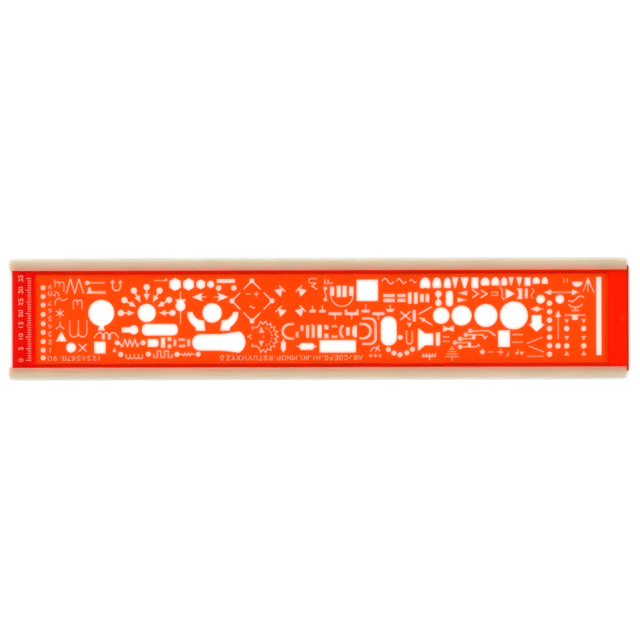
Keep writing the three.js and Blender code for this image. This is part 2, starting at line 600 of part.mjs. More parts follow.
// Lower right: switch contacts, relay block, signs and leads
function contactSymbols() {
  return [
    disc(64.1, -5.3, 1.7),
    stroke([[64.1, -5.4], [71.2, -5.4], [72.8, -5.9], [74.9, -7.6]]),
    disc(62.2, -7, 1.7),
    stroke([[62.2, -7.1], [69.4, -7.1], [70.6, -8.7], [71.3, -7.5]]),
    disc(59.8, -8.75, 1.8),
    bar(63.1, -8.75, 6.6, PEN_SLOT),
    bar(65.75, -7.9, 1.3, 2),
    disc(57.6, -10.4, 1.8),
    bar(60.9, -10.4, 6.6, PEN_SLOT),
    bar(63.9, -11.3, 1.3, 2),
    disc(59.8, -12.2, 1.8),
    stroke([[59.8, -12.2], [66.8, -12.2], [67.6, -11.2], [68.3, -12.1]]),
    polygon([[69.4, -13.15], [68.15, -14.4], [69.4, -15.65], [70.65, -14.4]]),
    bar(73, -14.45, 2.5, FINE_SLOT),
    ...plus(77.2, -14.45, 2.5, FINE_SLOT),
    polygon([[79.5, -16.4], [80.6, -14], [80.8, -16.2]]),
    bar(84.5, -14.4, FINE_SLOT, 2.2),
    disc(84, -15, 1.2),
    polygon([[85.4, -14.1], [86.2, -14.5], [87, -14.1], [87.1, -14.9], [86.2, -15.9], [85.3, -14.9]]),
    bar(78.65, -8.75, 5.1, 7.1),
    bar(84.45, -7.05, 4.6, PEN_SLOT),
    bar(84.4, -10.25, 4.3, PEN_SLOT),
    stroke([[88.5, -10.8], [95.2, -8.2]], FINE_SLOT),
    stroke([[89.2, -11.95], [95.7, -14.5]], FINE_SLOT),
    bar(92, -16.35, 7.3, FINE_SLOT),
  ];
}

// Right end: arrows, aerials, wave, dish, trident and the long slot
function rightSymbols() {
  const smallTriangle = (x, y, heading) => triangle(x, y, 2.1, 1.95, heading);
  return [
    disc(94.35, 8.1, 3.75),
    disc(102.6, 8.1, 3.75),
    polygon([[89.9, 3.9], [92.9, 2.75], [93.9, 3.4], [95.6, 3.65], [95.6, 4.15], [93.9, 4.4], [92.9, 5.05]]),
    polygon([
      [90.5, 1.35], [90.5, -2.3], [89.2, -2.7], [92.65, -5.85],
      [96.1, -2.7], [94.75, -2.3], [94.75, 1.35],
    ]),
    bar(103.4, 11.05, 12.6, PEN_SLOT),
    triangle(97.3, 11.05, 2.5, 3.1, 180),
    triangle(109.4, 11.05, 2.5, 3.1, 0),
    triangle(101.85, 2, 2.5, 3, 90),
    bar(101.85, -4.2, FINE_SLOT, 9.6),
    bar(104.35, 16, FINE_SLOT, 1.9),
    bar(105.85, 16, FINE_SLOT, 1.9),
    polygon(arc(0, 0, 1, 180, 360).map(([u, v]) => [110.05 + 2.3 * u, 15.5 + 2.1 * v])),
    stroke(curved([[106.2, 7.6], [107.6, 7.1], [109.1, 7.8], [110.4, 9], [111.6, 9.45], [113, 8.8]], 2)),
    stroke(arc(109.3, 8.8, 4.2, 223, 317)),
    bar(109.2, 4, PEN_SLOT, 1.4),
    bar(109.2, 3.25, 3.3, PEN_SLOT),
    bar(109.05, 1.25, 9, PEN_SLOT),
    bar(109.05, 0.2, 2.4, 1.9),
    smallTriangle(105.5, -1.4, 270),
    smallTriangle(112.8, -1.4, 270),
    smallTriangle(105.5, -8.65, 270),
    smallTriangle(112.8, -8.65, 270),
    smallTriangle(105.5, -15.05, 90),
    smallTriangle(112.8, -15.05, 90),
    stroke([[112.5, 11.2], [114.65, 17], [117.15, 10.9]], FINE_SLOT),
    bar(114.65, 13.4, FINE_SLOT, 4.4),
    triangle(114.65, 16.2, 2.2, 2.8, 90),
    bar(119.3, 0.85, 2.2, 33.5),
  ];
}

// A shape is cut only where a full web of plate is left between it and the field's edge
function fitsField(shape) {
  const box = new THREE.Box2().setFromPoints(shape.getPoints());
  return box.min.x > field.left + MIN_WEB && box.max.x < field.right - MIN_WEB
    && box.min.y > -field.halfWidth + MIN_WEB && box.max.y < field.halfWidth - MIN_WEB;
}

// Geometry to solid and back
function solid(geometry) {
  const bare = geometry.clone();
  bare.deleteAttribute('normal');
  bare.deleteAttribute('uv');
  const merged = mergeVertices(bare, 1e-5);
  return new wasm.Manifold(new wasm.Mesh({
    numProp: 3,
    vertProperties: new Float32Array(merged.attributes.position.array),
    triVerts: new Uint32Array(merged.index.array),
  }));
}

function prism(shape, from, to) {
  const geometry = new THREE.ExtrudeGeometry(shape, { depth: to - from, bevelEnabled: false });
  return solid(geometry.translate(0, 0, from));
}

function geometryOf(body) {
  const mesh = body.getMesh();
  const geometry = new THREE.BufferGeometry();
  geometry.setAttribute('position', new THREE.BufferAttribute(mesh.vertProperties, 3));
  geometry.setIndex(new THREE.BufferAttribute(mesh.triVerts, 1));
  const flat = geometry.toNonIndexed();
  flat.computeVertexNormals();
  return flat;
}

// The recess over the field: an X-Z outline with its two end slopes, run along Y between the long rims
function fieldRecess() {
  const above = rimTop + CUT_PAST_FACE;
  const slopesRun = (above - fieldTop) / (rimTop - fieldTop);
  const outline = polygon([
    [field.left, fieldTop],
    [field.right, fieldTop],
    [field.right + RIGHT_SLOPE_LENGTH * slopesRun, above],
    [field.left - LEFT_SLOPE_LENGTH * slopesRun, above],
  ]);
  const geometry = new THREE.ExtrudeGeometry(outline, { depth: 2 * field.halfWidth, bevelEnabled: false });
  return solid(geometry.rotateX(Math.PI / 2).translate(0, field.halfWidth, 0));
}

function stencilPlate() {
  const outline = roundBar(0, 0, PLATE_LENGTH, PLATE_WIDTH, PLATE_CORNER_RADIUS);
  const symbols = [
    guides(), leftSymbols(), rayedLamp(), leftRows(), valveSymbols(), bridgeSymbols(), ringResistor(),
    middleSymbols(), combAndDial(), rightOfMiddle(), gatesAndCircles(), contactSymbols(), rightSymbols(),
  ].flat();
  const cutFrom = plateUnderside - CUT_PAST_FACE;
  const cutTo = rimTop + CUT_PAST_FACE;
  const cutters = symbols.filter(fitsField).map((shape) => prism(shape, cutFrom, cutTo));
  const blank = prism(outline, plateUnderside, rimTop).subtract(fieldRecess());
  return geometryOf(blank.subtract(wasm.Manifold.union(cutters)));
}

// The channel's section for the upper edge: u runs outwards from the plate's long edge, v upwards
function railGeometry(side) {
  const inner = -RAIL_OVER_PLATE;
  const outer = RAIL_OUTSIDE;
  const edge = RAIL_EDGE_RADIUS;
  const section = polygon([
    [inner + RAIL_LIP_BEVEL, 0],
    ...arc(outer - edge, edge, edge, -90, 0),
    ...arc(outer - edge, railTop - edge, edge, 0, 90),
    [inner + RAIL_LIP_BEVEL, railTop],
    [inner, railTop - RAIL_LIP_BEVEL],
    [inner, slotTop],
    [SLOT_END_GAP, slotTop],
    [SLOT_END_GAP, RAIL_FOOT_THICKNESS],
    [inner, RAIL_FOOT_THICKNESS],
    [inner, RAIL_LIP_BEVEL],
  ]);
  const geometry = new THREE.ExtrudeGeometry(section, { depth: RAIL_LENGTH, bevelEnabled: false });
  geometry.translate(0, 0, -RAIL_LENGTH / 2).rotateX(Math.PI / 2).rotateZ(Math.PI / 2);
  geometry.translate(0, PLATE_WIDTH / 2, 0);
  return side > 0 ? geometry : geometry.rotateZ(Math.PI);
}

const clearOrange = new THREE.MeshStandardMaterial({ color: 0xfc4605, roughness: 0.12, metalness: 0 });
const ivory = new THREE.MeshStandardMaterial({ color: 0xd6c2a0, roughness: 0.35, metalness: 0 });

function piece(name, geometry, material, x) {
  const mesh = new THREE.Mesh(geometry, material);
  mesh.name = name;
  mesh.position.x = x;
  return mesh;
}

const group = new THREE.Group();
group.add(
  piece('stencil_plate', stencilPlate(), clearOrange, plateX),
  piece('upper_edge_rail', railGeometry(1), ivory, plateX + UPPER_RAIL_SHIFT),
  piece('lower_edge_rail', railGeometry(-1), ivory, plateX + LOWER_RAIL_SHIFT),
);

export default group;
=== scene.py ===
"""Symbol drawing template: a clear orange stencil plate that slides in two ivory edge rails.

Shapes are worked out in millimetres and put into the meshes in metres, in the frame of the solids: +X along
the plate, +Y across it, +Z up, with z = 0 on the surface that the rails stand on.
"""

import math

import bpy
import numpy as np
from bpy.props import FloatProperty, FloatVectorProperty, PointerProperty
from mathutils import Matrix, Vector
from mathutils.geometry import delaunay_2d_cdt


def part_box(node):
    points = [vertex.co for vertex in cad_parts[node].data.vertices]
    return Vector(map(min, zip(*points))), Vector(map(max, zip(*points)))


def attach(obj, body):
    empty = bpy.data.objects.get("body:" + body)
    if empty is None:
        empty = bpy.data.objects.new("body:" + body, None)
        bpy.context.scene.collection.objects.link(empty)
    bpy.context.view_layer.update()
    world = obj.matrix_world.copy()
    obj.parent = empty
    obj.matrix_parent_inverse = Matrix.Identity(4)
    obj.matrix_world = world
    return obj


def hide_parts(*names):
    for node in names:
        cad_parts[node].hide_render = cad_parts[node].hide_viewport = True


bl_info = {
    "name": "Symbol template",
    "version": (1, 0, 0),
    "blender": (4, 5, 0),
    "location": "3D View > Sidebar > Template",
    "description": "Dresses the solids of a symbol drawing template and its two edge rails",
    "category": "Object",
}

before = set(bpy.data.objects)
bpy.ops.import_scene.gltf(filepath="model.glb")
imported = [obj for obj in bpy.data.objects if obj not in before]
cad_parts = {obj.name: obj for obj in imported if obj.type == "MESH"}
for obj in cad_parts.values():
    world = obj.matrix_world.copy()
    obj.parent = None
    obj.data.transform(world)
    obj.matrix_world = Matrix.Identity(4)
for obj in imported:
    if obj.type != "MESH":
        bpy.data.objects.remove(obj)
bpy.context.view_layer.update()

MM = 0.001
PER_METRE = 1000.0

# The turn of each facet of a fine arc, and the share of it that a bend may have left over
ARC_STEP = math.radians(8)
ARC_SLACK = 0.01
# The shortest sides in mm of an outline, before and after its finish
SHORTEST_FACET = 0.09
SHORTEST_SIDE = 0.006
# An edge this many times as long as its smooth neighbours is straight, and two straight edges that turn
# more than this, in radians, meet in a corner
STRAIGHT_RATIO = 1.6
STRAIGHT_TURN = 0.05
# Turns in degrees that make a corner in an opening and in a drawn stroke
OPENING_TURN = 40
STROKE_TURN = 60
# The most of a side that each of its rounded corners takes, and the gap in mm that it leaves to a point
SIDE_SHARE = 0.46
POINT_GAP = 0.01
# Rounding of a drawn stroke's corners, as a share of its width
STROKE_SETBACK = 0.4
# Least divisor in the mitre of a moved outline and of a drawn stroke, so that no bend runs to a spike
OUTLINE_SPREAD = 0.6
STROKE_SPREAD = 0.35
# Shares of a broken edge that are tried in turn where an outline is tight
CHAMFER_SHARES = (1, 0.6, 0.3, 0.1)

# The upright part of a face's normal past which the face is level, and the distance in mm at which two
# outlines touch
LEVEL_FACE = 0.999
TOUCHING = 1e-7
# Width in mm of the flat collar beside a smooth edge, which keeps the large flat faces evenly shaded
COLLAR = 0.04
# The step round the field: the radius of its corners in mm, and the rings down it
STEP_CORNER = 0.06
STEP_RINGS = 8
# How far a rounded edge's middle lies in from both of its faces, as a share of its radius
EDGE_MIDDLE = 0.3
# Angles in degrees past which the pieces' edges are sharp
PLATE_SHARP_ANGLE = 30
RAIL_SHARP_ANGLE = 40

# The rails' cut ends, in mm: how far in along the rail, and how much the section is drawn in there
RAIL_END = [(0, 0.09), (0.02, 0.045), (0.055, 0.015), (0.1, 0)]
# Rounding in mm of the slot's mouth and of its inner corners
SLOT_MOUTH_ROUND = 0.12
SLOT_CORNER_ROUND = 0.15

# Lettering, in mm from the middle of the plate, as it lies in the photograph with its feet towards +Y
NUMERAL_COLUMN_X = -115.8
NUMERAL_COLUMN = list(zip("987654321", (13.8, 11.0, 7.0, 3.7, 0.3, -3.0, -6.3, -9.7, -13.2)))
LETTER_ROW_Y = -16.7
LETTER_ROW = list(zip(
    "12345678,90AB/CDEFG.HIJKLMNOP.RSTUVWXYZ&",
    (-94.8, -96.8, -99.1, -101.3, -103.6, -105.8, -107.6, -109.7, -111.5, -113.7, -115.9,
     17.1, 15.0, 12.8, 10.95, 8.75, 6.8, 4.6, 2.5, 0.8, -0.96, -2.8, -4.8, -6.56, -8.7, -11.1, -13.5, -15.75,
     -17.95, -19.6, -21.3, -23.5, -25.6, -27.8, -30.1, -32.6, -35.1, -37.3, -39.5, -42.2),
))
LETTER_CHAMFER = 0.03

# Plain scale on the left band, in mm: a tick each millimetre and a number each five
SCALE_TICKS_X = -124.05
SCALE_NUMBERS_X = -128.3
SCALE_ZERO_Y = -17.5
SCALE_LENGTH = 35
SCALE_NUMBER_STEP = 5
# Length of the ticks at each tenth, fifth and single millimetre
TICK_LENGTHS = {10: 2.1, 5: 1.7, 1: 1.15}
SCALE_NUMBER_HEIGHT = 1.7
SCALE_STROKE = 0.24
# Distance between the digits of a number, as a share of their height
DIGIT_PITCH = 0.95
SCALE_DEPTH = 0.1
SCALE_CHAMFER = 0.02

# The moulding gate's mark on the right band, in mm: its place, and the radius and height of each ring of it
GATE_X = 129.2
GATE_Y = -0.3
GATE_POINTS = 32
GATE_PROFILE = [(0.98, 0), (0.9, -0.06), (0.78, -0.06), (0.7, 0), (0.4, 0.01), (0.3, 0.05)]

# Where the plate's tint changes, in mm: past the ends of the left slope, before the steep side step and
# past it, and before the right end. The line past the side step and the dark end before the right end are
# painted shade.
LEFT_BAND_PAST = (0.2, 0.6)
RIM_BEFORE = 0.3
SIDE_SHADE_LINE_PAST = 0.2
END_SHADE_LINE_BEFORE = (0.8, 0.3)
# Soft lines in the plate's tint, each with its half width in mm and its strength. The side, inner and outer
# lines are painted shade along the steep side steps and both borders of the right slope; the gate's line is a
# lighter ring in the field's tint round the gate's groove.
SIDE_SHADE_LINE = (0.4, 0.26)
INNER_SHADE_LINE = (0.5, 0.3)
OUTER_SHADE_LINE = (0.5, 0.2)
GATE_LINE = (0.5, 0.7)
GATE_LINE_RADIUS = 0.65

# The painted glow of the plate's orange in a rail's lip, which stands in for the light coming up through it,
# in mm: its reach past the plate's edge and past the lip's edge, and the depths under the lip's top between
# which it sets in
PAINTED_GLOW_PAST_PLATE = 0.7
PAINTED_GLOW_PAST_LIP = 0.6
PAINTED_GLOW_DEPTHS = (0.5, 0.2)

# Scratches: the turn in radians of each set, with its noise scales along and across. Then their noise scale
# through the part, and the noise between which a scratch sets in.
SCRATCHES = ((0.3, 45.0, 2600.0), (-1.1, 60.0, 3200.0), (1.9, 90.0, 3000.0))
SCRATCH_DEPTH = 300.0
SCRATCH_NOISE = (0.68, 0.76)
# The noise between which a plastic goes from one tone to the other
TONE_NOISE = (0.3, 0.7)

# The cosines of the angle from the key light between which it sets in and is full
KEY_FADE = (0.1, 1.0)
# The dark strip overhead: the shares of its angle between which its sides fade, the X of the direction
# between which its ends fade, and the light left in it
STRIP_SIDES = (0.5, 1.0)
STRIP_ENDS = (0.8, 0.9)
STRIP_LEVEL = 0.03
# Where a lamp's soft rim ends and where it is full, as shares of its radius
LAMP_RIM = (1.25, 0.75)

# Strokes of each character in a cell a hundred units high. They keep clear of each other, as in a stencil.
GLYPH_UNITS = 100
ROUND_LEFT = [(24, 99), (9, 83), (3, 50), (9, 17), (24, 1)]
STEM = [(6, 0), (6, 100)]
GLYPHS = {
    "0": [ROUND_LEFT, [(72 - x, y) for x, y in ROUND_LEFT]],
    "1": [[(32, 0), (32, 100)]],
    "2": [[(5, 76), (15, 94), (34, 100), (53, 90), (58, 70), (45, 48), (8, 7)], [(37, 0), (64, 0)]],
    "3": [[(5, 88), (22, 100), (42, 98), (56, 85), (50, 69), (32, 62)],
          [(58, 37), (60, 19), (44, 3), (20, 0), (3, 12)]],
    "4": [[(34, 98), (4, 30), (28, 30)], [(54, 62), (54, 0)]],
    "5": [[(56, 100), (10, 100), (10, 68)],
          [(29, 53), (46, 55), (60, 40), (58, 16), (42, 2), (20, 0), (3, 10)]],
    "6": [[(50, 98), (22, 80), (5, 50), (4, 24), (16, 4)], [(43, 0), (59, 12), (61, 34), (48, 50), (32, 50)]],
    "7": [[(5, 100), (58, 100), (25, 0)]],
    "8": [[(24, 100), (7, 88), (7, 68), (23, 53), (3, 35), (3, 12), (24, 0)],
          [(54, 100), (71, 88), (71, 68), (55, 53), (75, 35), (75, 12), (54, 0)]],
    "9": [[(14, 2), (42, 20), (59, 50), (60, 76), (48, 96)],
          [(21, 100), (5, 88), (3, 66), (16, 50), (32, 50)]],
    "A": [[(0, 0), (32, 100)], [(80, 0), (55, 86)], [(34, 28), (47, 28)]],
    "B": [STEM, [(31, 100), (50, 98), (58, 84), (50, 70), (31, 67)],
          [(31, 36), (52, 34), (62, 18), (52, 2), (31, 0)]],
    "C": [[(62, 82), (50, 96), (32, 100), (12, 88), (4, 65), (4, 35), (12, 12), (32, 0), (50, 4), (62, 18)]],
    "D": [STEM, [(31, 100), (50, 92), (64, 70), (64, 30), (50, 8), (31, 0)]],
    "E": [[(60, 100), (6, 100), (6, 0), (60, 0)], [(32, 50), (52, 50)]],
    "F": [[(60, 100), (6, 100), (6, 0)], [(32, 54), (52, 54)]],
    "G": [[(60, 84), (46, 98), (28, 99), (10, 86), (4, 62), (4, 36), (12, 12), (32, 0), (52, 4), (62, 16),
           (62, 42), (42, 42)]],
    "H": [STEM, [(66, 0), (66, 100)], [(32, 50), (40, 50)]],
    "I": [[(32, 0), (32, 100)]],
    "J": [[(50, 100), (50, 24), (40, 5), (22, 0), (6, 12), (4, 26)]],
    "K": [STEM, [(62, 100), (33, 52), (64, 0)]],
    "L": [[(6, 100), (6, 0), (56, 0)]],
    "M": [[(4, 0), (4, 100)], [(86, 0), (86, 100)], [(29, 86), (45, 36), (61, 86)]],
    "N": [[(4, 0), (4, 100)], [(72, 0), (72, 100)], [(29, 80), (47, 20)]],
    "O": [ROUND_LEFT, [(74 - x, y) for x, y in ROUND_LEFT]],
    "P": [STEM, [(31, 100), (52, 96), (60, 76), (52, 55), (31, 50)]],
    "R": [STEM, [(31, 100), (52, 96), (60, 78), (52, 61), (31, 58)], [(40, 28), (62, 0)]],
    "S": [[(60, 82), (48, 97), (28, 100), (10, 88), (8, 68), (24, 54), (46, 46), (60, 32), (56, 10),
           (36, 0), (16, 3), (4, 18)]],
    "T": [[(0, 100), (64, 100)], [(32, 71), (32, 0)]],
    "U": [[(4, 100), (4, 30), (12, 8), (34, 0), (56, 8), (64, 30), (64, 100)]],
    "V": [[(0, 100), (34, 0), (68, 100)]],
    "W": [[(0, 100), (20, 0), (34, 60)], [(60, 76), (72, 0), (92, 100)]],
    "X": [[(0, 100), (64, 0)], [(64, 100), (47, 73)], [(0, 0), (17, 27)]],
    "Y": [[(0, 100), (32, 50), (32, 0)], [(64, 100), (50, 77)]],
    "Z": [[(2, 100), (60, 100), (4, 0), (62, 0)]],
    "&": [[(78, 42), (64, 14), (42, 0), (18, 2), (5, 20), (12, 40), (28, 52)],
          [(26, 81), (28, 93), (42, 100), (54, 90), (52, 78)]],
    "/": [[(10, 10), (34, 70)]],
    ".": [[(20, 14), (20, 20)]],
    ",": [[(22, 20), (16, 0)]],
}


def unit(vectors):
    """Each vector divided by its length."""
    return vectors / np.linalg.norm(vectors, axis=-1, keepdims=True)


def cross(first, second):
    """The flat cross product, which is the sine of the turn for unit vectors."""
    return first[..., 0] * second[..., 1] - first[..., 1] * second[..., 0]


def area(outline):
    """Signed area of a closed outline: half the sum of the cross products of its neighbouring points."""
    return cross(outline, np.roll(outline, -1, axis=0)).sum() / 2


def mirrored(vectors, axes):
    """Each vector mirrored about its axis: twice its share along the axis, less itself."""
    return 2 * (vectors * axes).sum(axis=1)[:, None] * axes - vectors


def offset_outline(outline, distance):
    """Moves each point of an outline that runs anticlockwise outwards by the distance.

    A point moves along the sum of the normals of its two edges, over one plus their dot product, so that
    both edges move by the distance.
    """
    along = unit(np.roll(outline, -1, axis=0) - outline)
    normal = np.column_stack([along[:, 1], -along[:, 0]])
    before = np.roll(normal, 1, axis=0)
    spread = np.maximum(1 + (normal * before).sum(axis=1), OUTLINE_SPREAD)
    return outline + distance * (normal + before) / spread[:, None]


def fine_arcs(outline, corner_turn):
    """Gives the faceted arcs of a closed outline their curve back, and says which points are corners.

    A vertex that turns more than corner_turn is a corner. An edge much longer than those that it runs into
    smoothly is straight. Every other edge becomes a cubic from end to end. Its end directions are the mean
    of its neighbours' weighted by nearness, or mirrored about the edge at a corner. Its speed is the edge's
    length over the squared cosine of a quarter of the bend, which is right for a circle.
    """
    chord = np.roll(outline, -1, axis=0) - outline
    length = np.linalg.norm(chord, axis=1)
    along = chord / length[:, None]
    before = np.roll(along, 1, axis=0)
    length_before = np.roll(length, 1)
    turn = np.abs(np.arctan2(cross(before, along), (before * along).sum(axis=1)))
    corner = turn > corner_turn
    smooth_before = np.where(corner, 0, length_before)
    smooth_ahead = np.roll(np.where(corner, 0, length), -1)
    straight = length > STRAIGHT_RATIO * np.maximum(smooth_before, smooth_ahead)
    straight_before = np.roll(straight, 1)
    corner |= straight & straight_before & (turn > STRAIGHT_TURN)
    corner_ahead = np.roll(corner, -1)

    tangent = unit(before * length[:, None] + along * length_before[:, None])
    tangent = np.where((straight_before & ~straight)[:, None], before, tangent)
    tangent = np.where((straight & ~straight_before)[:, None], along, tangent)
    tangent_ahead = np.roll(tangent, -1, axis=0)
    leave = np.where(corner[:, None], mirrored(tangent_ahead, along), tangent)
    arrive = np.where(corner_ahead[:, None], mirrored(tangent, along), tangent_ahead)
    plain = (straight | (corner & corner_ahead))[:, None]
    leave = np.where(plain, along, leave)
    arrive = np.where(plain, along, arrive)

    bend = np.arccos(np.clip((leave * arrive).sum(axis=1), -1, 1))
    pieces = np.maximum(1, np.ceil(bend / ARC_STEP - ARC_SLACK)).astype(int)
    edge = np.repeat(np.arange(len(outline)), pieces)
    first = np.cumsum(pieces) - pieces
    t = ((np.arange(len(edge)) - first[edge]) / pieces[edge])[:, None]
    speed = (length / np.cos(bend / 4) ** 2)[edge, None]
    start = outline[edge]
    end = np.roll(outline, -1, axis=0)[edge]
    fine = (2 * t**3 - 3 * t**2 + 1) * start + (3 * t**2 - 2 * t**3) * end
    fine += speed * ((t**3 - 2 * t**2 + t) * leave[edge] + (t**3 - t**2) * arrive[edge])
    return fine, corner[edge] & (t[:, 0] == 0)


def path_lengths(path):
    """How far along a path each of its points lies."""
    return np.concatenate([[0], np.cumsum(np.linalg.norm(np.diff(path, axis=0), axis=1))])


def round_corners(outline, corner, setback):
    """Rounds the corners of a closed outline, starting the setback before each, or less on a short side.

    A corner becomes the cubic that leaves and arrives along its sides, with handles of
    4/3 tan(a/4) / tan(a/2) of the setback for a turn a, which is right for a circle.
    """
    where = np.flatnonzero(corner)
    if len(where) == 0:
        return outline
    outline = np.roll(outline, -where[0], axis=0)
    runs = np.split(outline, where[1:] - where[0])
    points = [run[0] for run in runs]
    sides = [np.vstack([run, point]) for run, point in zip(runs, points[1:] + points[:1])]
    reaches = [path_lengths(side) for side in sides]
    spans = np.array([reach[-1] for reach in reaches])
    cut = np.minimum(setback, SIDE_SHARE * np.minimum(spans, np.roll(spans, 1)))
    cut_ahead = np.roll(cut, -1)
    trimmed = []
    for side, reach, low, end_cut in zip(sides, reaches, cut, cut_ahead):
        high = reach[-1] - end_cut
        between = reach[(reach > low + POINT_GAP) & (reach < high - POINT_GAP)]
        kept = np.concatenate([[low], between, [high]])
        trimmed.append(np.column_stack([np.interp(kept, reach, side[:, axis]) for axis in (0, 1)]))
    finished = []
    for number, side in enumerate(trimmed):
        ahead = (number + 1) % len(trimmed)
        start, point, end = side[-1], points[ahead], trimmed[ahead][0]
        leave, arrive = unit(point - start), unit(end - point)
        bend = math.acos(min(1, max(-1, float(leave @ arrive))))
        handle = 4 / 3 * math.tan(bend / 4) / math.tan(bend / 2) * cut_ahead[number]
        count = max(2, math.ceil(bend / (2 * ARC_STEP)))
        t = (np.arange(1, count) / count)[:, None]
        curve = (1 - t) ** 3 * start + 3 * (1 - t) ** 2 * t * (start + handle * leave)
        curve += 3 * (1 - t) * t**2 * (end - handle * arrive) + t**3 * end
        finished += [side, curve]
    return np.vstack(finished)


def without_short_sides(outline, shortest):
    """A closed outline without the points that lie nearer to the one before than the shortest side."""
    return outline[np.linalg.norm(outline - np.roll(outline, 1, axis=0), axis=1) > shortest]


def finished_outline(outline, corner_turn, setback):
    """A faceted outline with fine arcs and rounded corners, run anticlockwise."""
    if area(outline) < 0:
        outline = outline[::-1]
    fine, corner = fine_arcs(without_short_sides(outline, SHORTEST_FACET), math.radians(corner_turn))
    return without_short_sides(round_corners(fine, corner, setback), SHORTEST_SIDE)


def crosses_itself(outline):
    """Whether two sides of a closed outline cross, each with its ends on either side of the other's line."""
    start = outline
    end = np.roll(outline, -1, axis=0)
    from_first = start[None] - start[:, None]
    to_first = end[None] - start[:, None]
    along = (end - start)[:, None]
    apart = cross(along, from_first) * cross(along, to_first) < 0
    return bool((apart & apart.T).any())


def widened(outline, chamfer):
    """The outline moved outwards by the chamfer, or by as much of it as leaves it clear of itself."""
    for share in CHAMFER_SHARES:
        wide = offset_outline(outline, share * chamfer)
        if not crosses_itself(wide):
            return wide
    raise RuntimeError("an outline is too tight for its broken edge")


def rounded_rectangle(low, high, radius, steps=8):
    """A rectangle from its low to its high corner, with quarter circles for corners, run anticlockwise.

    A point a collar's width past either end of a corner keeps the straight sides evenly shaded.
    """
    turns = np.linspace(0, math.pi / 2, steps + 1)
    corners = []
    for quarter, side in enumerate(np.array([(1, 1), (-1, 1), (-1, -1), (1, -1)])):
        angle = turns + quarter * math.pi / 2
        centre = np.where(side > 0, high, low) - side * radius
        arc = centre + radius * np.column_stack([np.cos(angle), np.sin(angle)])
        ahead = COLLAR * np.column_stack([-np.sin(angle), np.cos(angle)])
        corners += [arc[:1] - ahead[:1], arc, arc[-1:] + ahead[-1:]]
    return np.vstack(corners)


def circle(x, y, radius, count):
    """Points round a circle, anticlockwise."""
    angle = np.arange(count) / count * 2 * math.pi
    return np.array([x, y]) + radius * np.column_stack([np.cos(angle), np.sin(angle)])


def stroke_outline(path, width):
    """The outline of a pen stroke: both sides of a path at half the width, closed by half circles.

    A bend's side points lie along the sum of the normals of its two legs, over one plus their dot product.
    """
    along = unit(np.diff(path, axis=0))
    normal = np.column_stack([-along[:, 1], along[:, 0]])
    before = np.vstack([normal[:1], normal])
    after = np.vstack([normal, normal[-1:]])
    spread = np.maximum(1 + (before * after).sum(axis=1), STROKE_SPREAD)
    side = width / 2 * (before + after) / spread[:, None]
    turns = np.radians([-45, 0, 45])[:, None]
    caps = []
    for middle, forward in ((path[-1], along[-1]), (path[0], -along[0])):
        sideways = np.array([-forward[1], forward[0]])
        caps.append(middle + width / 2 * (np.cos(turns) * forward + np.sin(turns) * sideways))
    return np.vstack([path - side, caps[0], (path + side)[::-1], caps[1]])


def finished_stroke(path, width):
    """The finished outline of a pen stroke along a path."""
    return finished_outline(stroke_outline(path, width), STROKE_TURN, STROKE_SETBACK * width)


def character(name, x, y, width, height, stroke, turn):
    """The finished outlines of a character about (x, y), turned by an angle in degrees.

    Its cell is drawn to the width for each unit across and to the height for each unit up.
    """
    strokes = [np.array(points) / GLYPH_UNITS * (width, height) for points in GLYPHS[name]]
    everything = np.vstack(strokes)
    middle_x = (everything[:, 0].min() + everything[:, 0].max()) / 2
    middle_y = height / 2
    cosine, sine = math.cos(math.radians(turn)), math.sin(math.radians(turn))
    rotation = np.array([[cosine, sine], [-sine, cosine]])
    placed = [(path - (middle_x, middle_y)) @ rotation + (x, y) for path in strokes]
    return [finished_stroke(path, stroke) for path in placed]


def border_loops(triangles):
    """The closed borders of a set of triangles, each a row of vertex numbers in order.

    A border edge is one whose reverse no triangle has. Each border vertex points at the next one. Doubling
    the pointers finds the lowest vertex of each loop, and then the steps that lead to it.
    """
    edges = np.concatenate([triangles[:, pair] for pair in ([0, 1], [1, 2], [2, 0])]).astype(np.int64)
    count = edges.max() + 1
    border = edges[~np.isin(edges[:, 1] * count + edges[:, 0], edges[:, 0] * count + edges[:, 1])]
    border = border[np.argsort(border[:, 0])]
    following = np.searchsorted(border[:, 0], border[:, 1])
    numbers = np.arange(len(border))
    doublings = len(border).bit_length()
    lowest, jump = numbers, following
    for _ in range(doublings):
        lowest = np.minimum(lowest, lowest[jump])
        jump = jump[jump]
    root = lowest == numbers
    jump = np.where(root, numbers, following)
    steps = np.where(root, 0, 1)
    for _ in range(doublings):
        steps = steps + steps[jump]
        jump = jump[jump]
    order = np.lexsort((np.where(root, -len(border), -steps), lowest))
    starts = np.flatnonzero(np.diff(lowest[order])) + 1
    return [border[group, 0] for group in np.split(order, starts)]


def solid_levels(node):
    """The outlines of a flat solid's upward faces in mm, from each height to the border loops at it."""
    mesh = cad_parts[node].data
    positions = np.empty(len(mesh.vertices) * 3, dtype=np.float32)
    mesh.vertices.foreach_get("co", positions)
    corners = np.empty(len(mesh.loops), dtype=np.int32)
    mesh.loops.foreach_get("vertex_index", corners)
    microns = np.round(positions.reshape(-1, 3) * 1e6).astype(np.int64)
    microns, merged = np.unique(microns, axis=0, return_inverse=True)
    points = microns / PER_METRE
    triangles = merged.ravel()[corners].reshape(-1, 3)
    first, second, third = (points[triangles[:, corner]] for corner in range(3))
    normals = unit(np.cross(second - first, third - first))
    level = np.round(first[:, 2], 2)
    upward = normals[:, 2] > LEVEL_FACE
    outlines = {}
    for height in np.unique(level[upward]):
        loops = border_loops(triangles[upward & (level == height)])
        outlines[float(height)] = [points[loop][:, :2] for loop in loops]
    return outlines


def box_in_mm(node):
    """The low and the high corner of a solid, in mm."""
    return [np.array(corner) * PER_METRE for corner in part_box(node)]


def in_mm(sizes, *names):
    """The named sizes, in mm."""
    return [getattr(sizes, name) * PER_METRE for name in names]


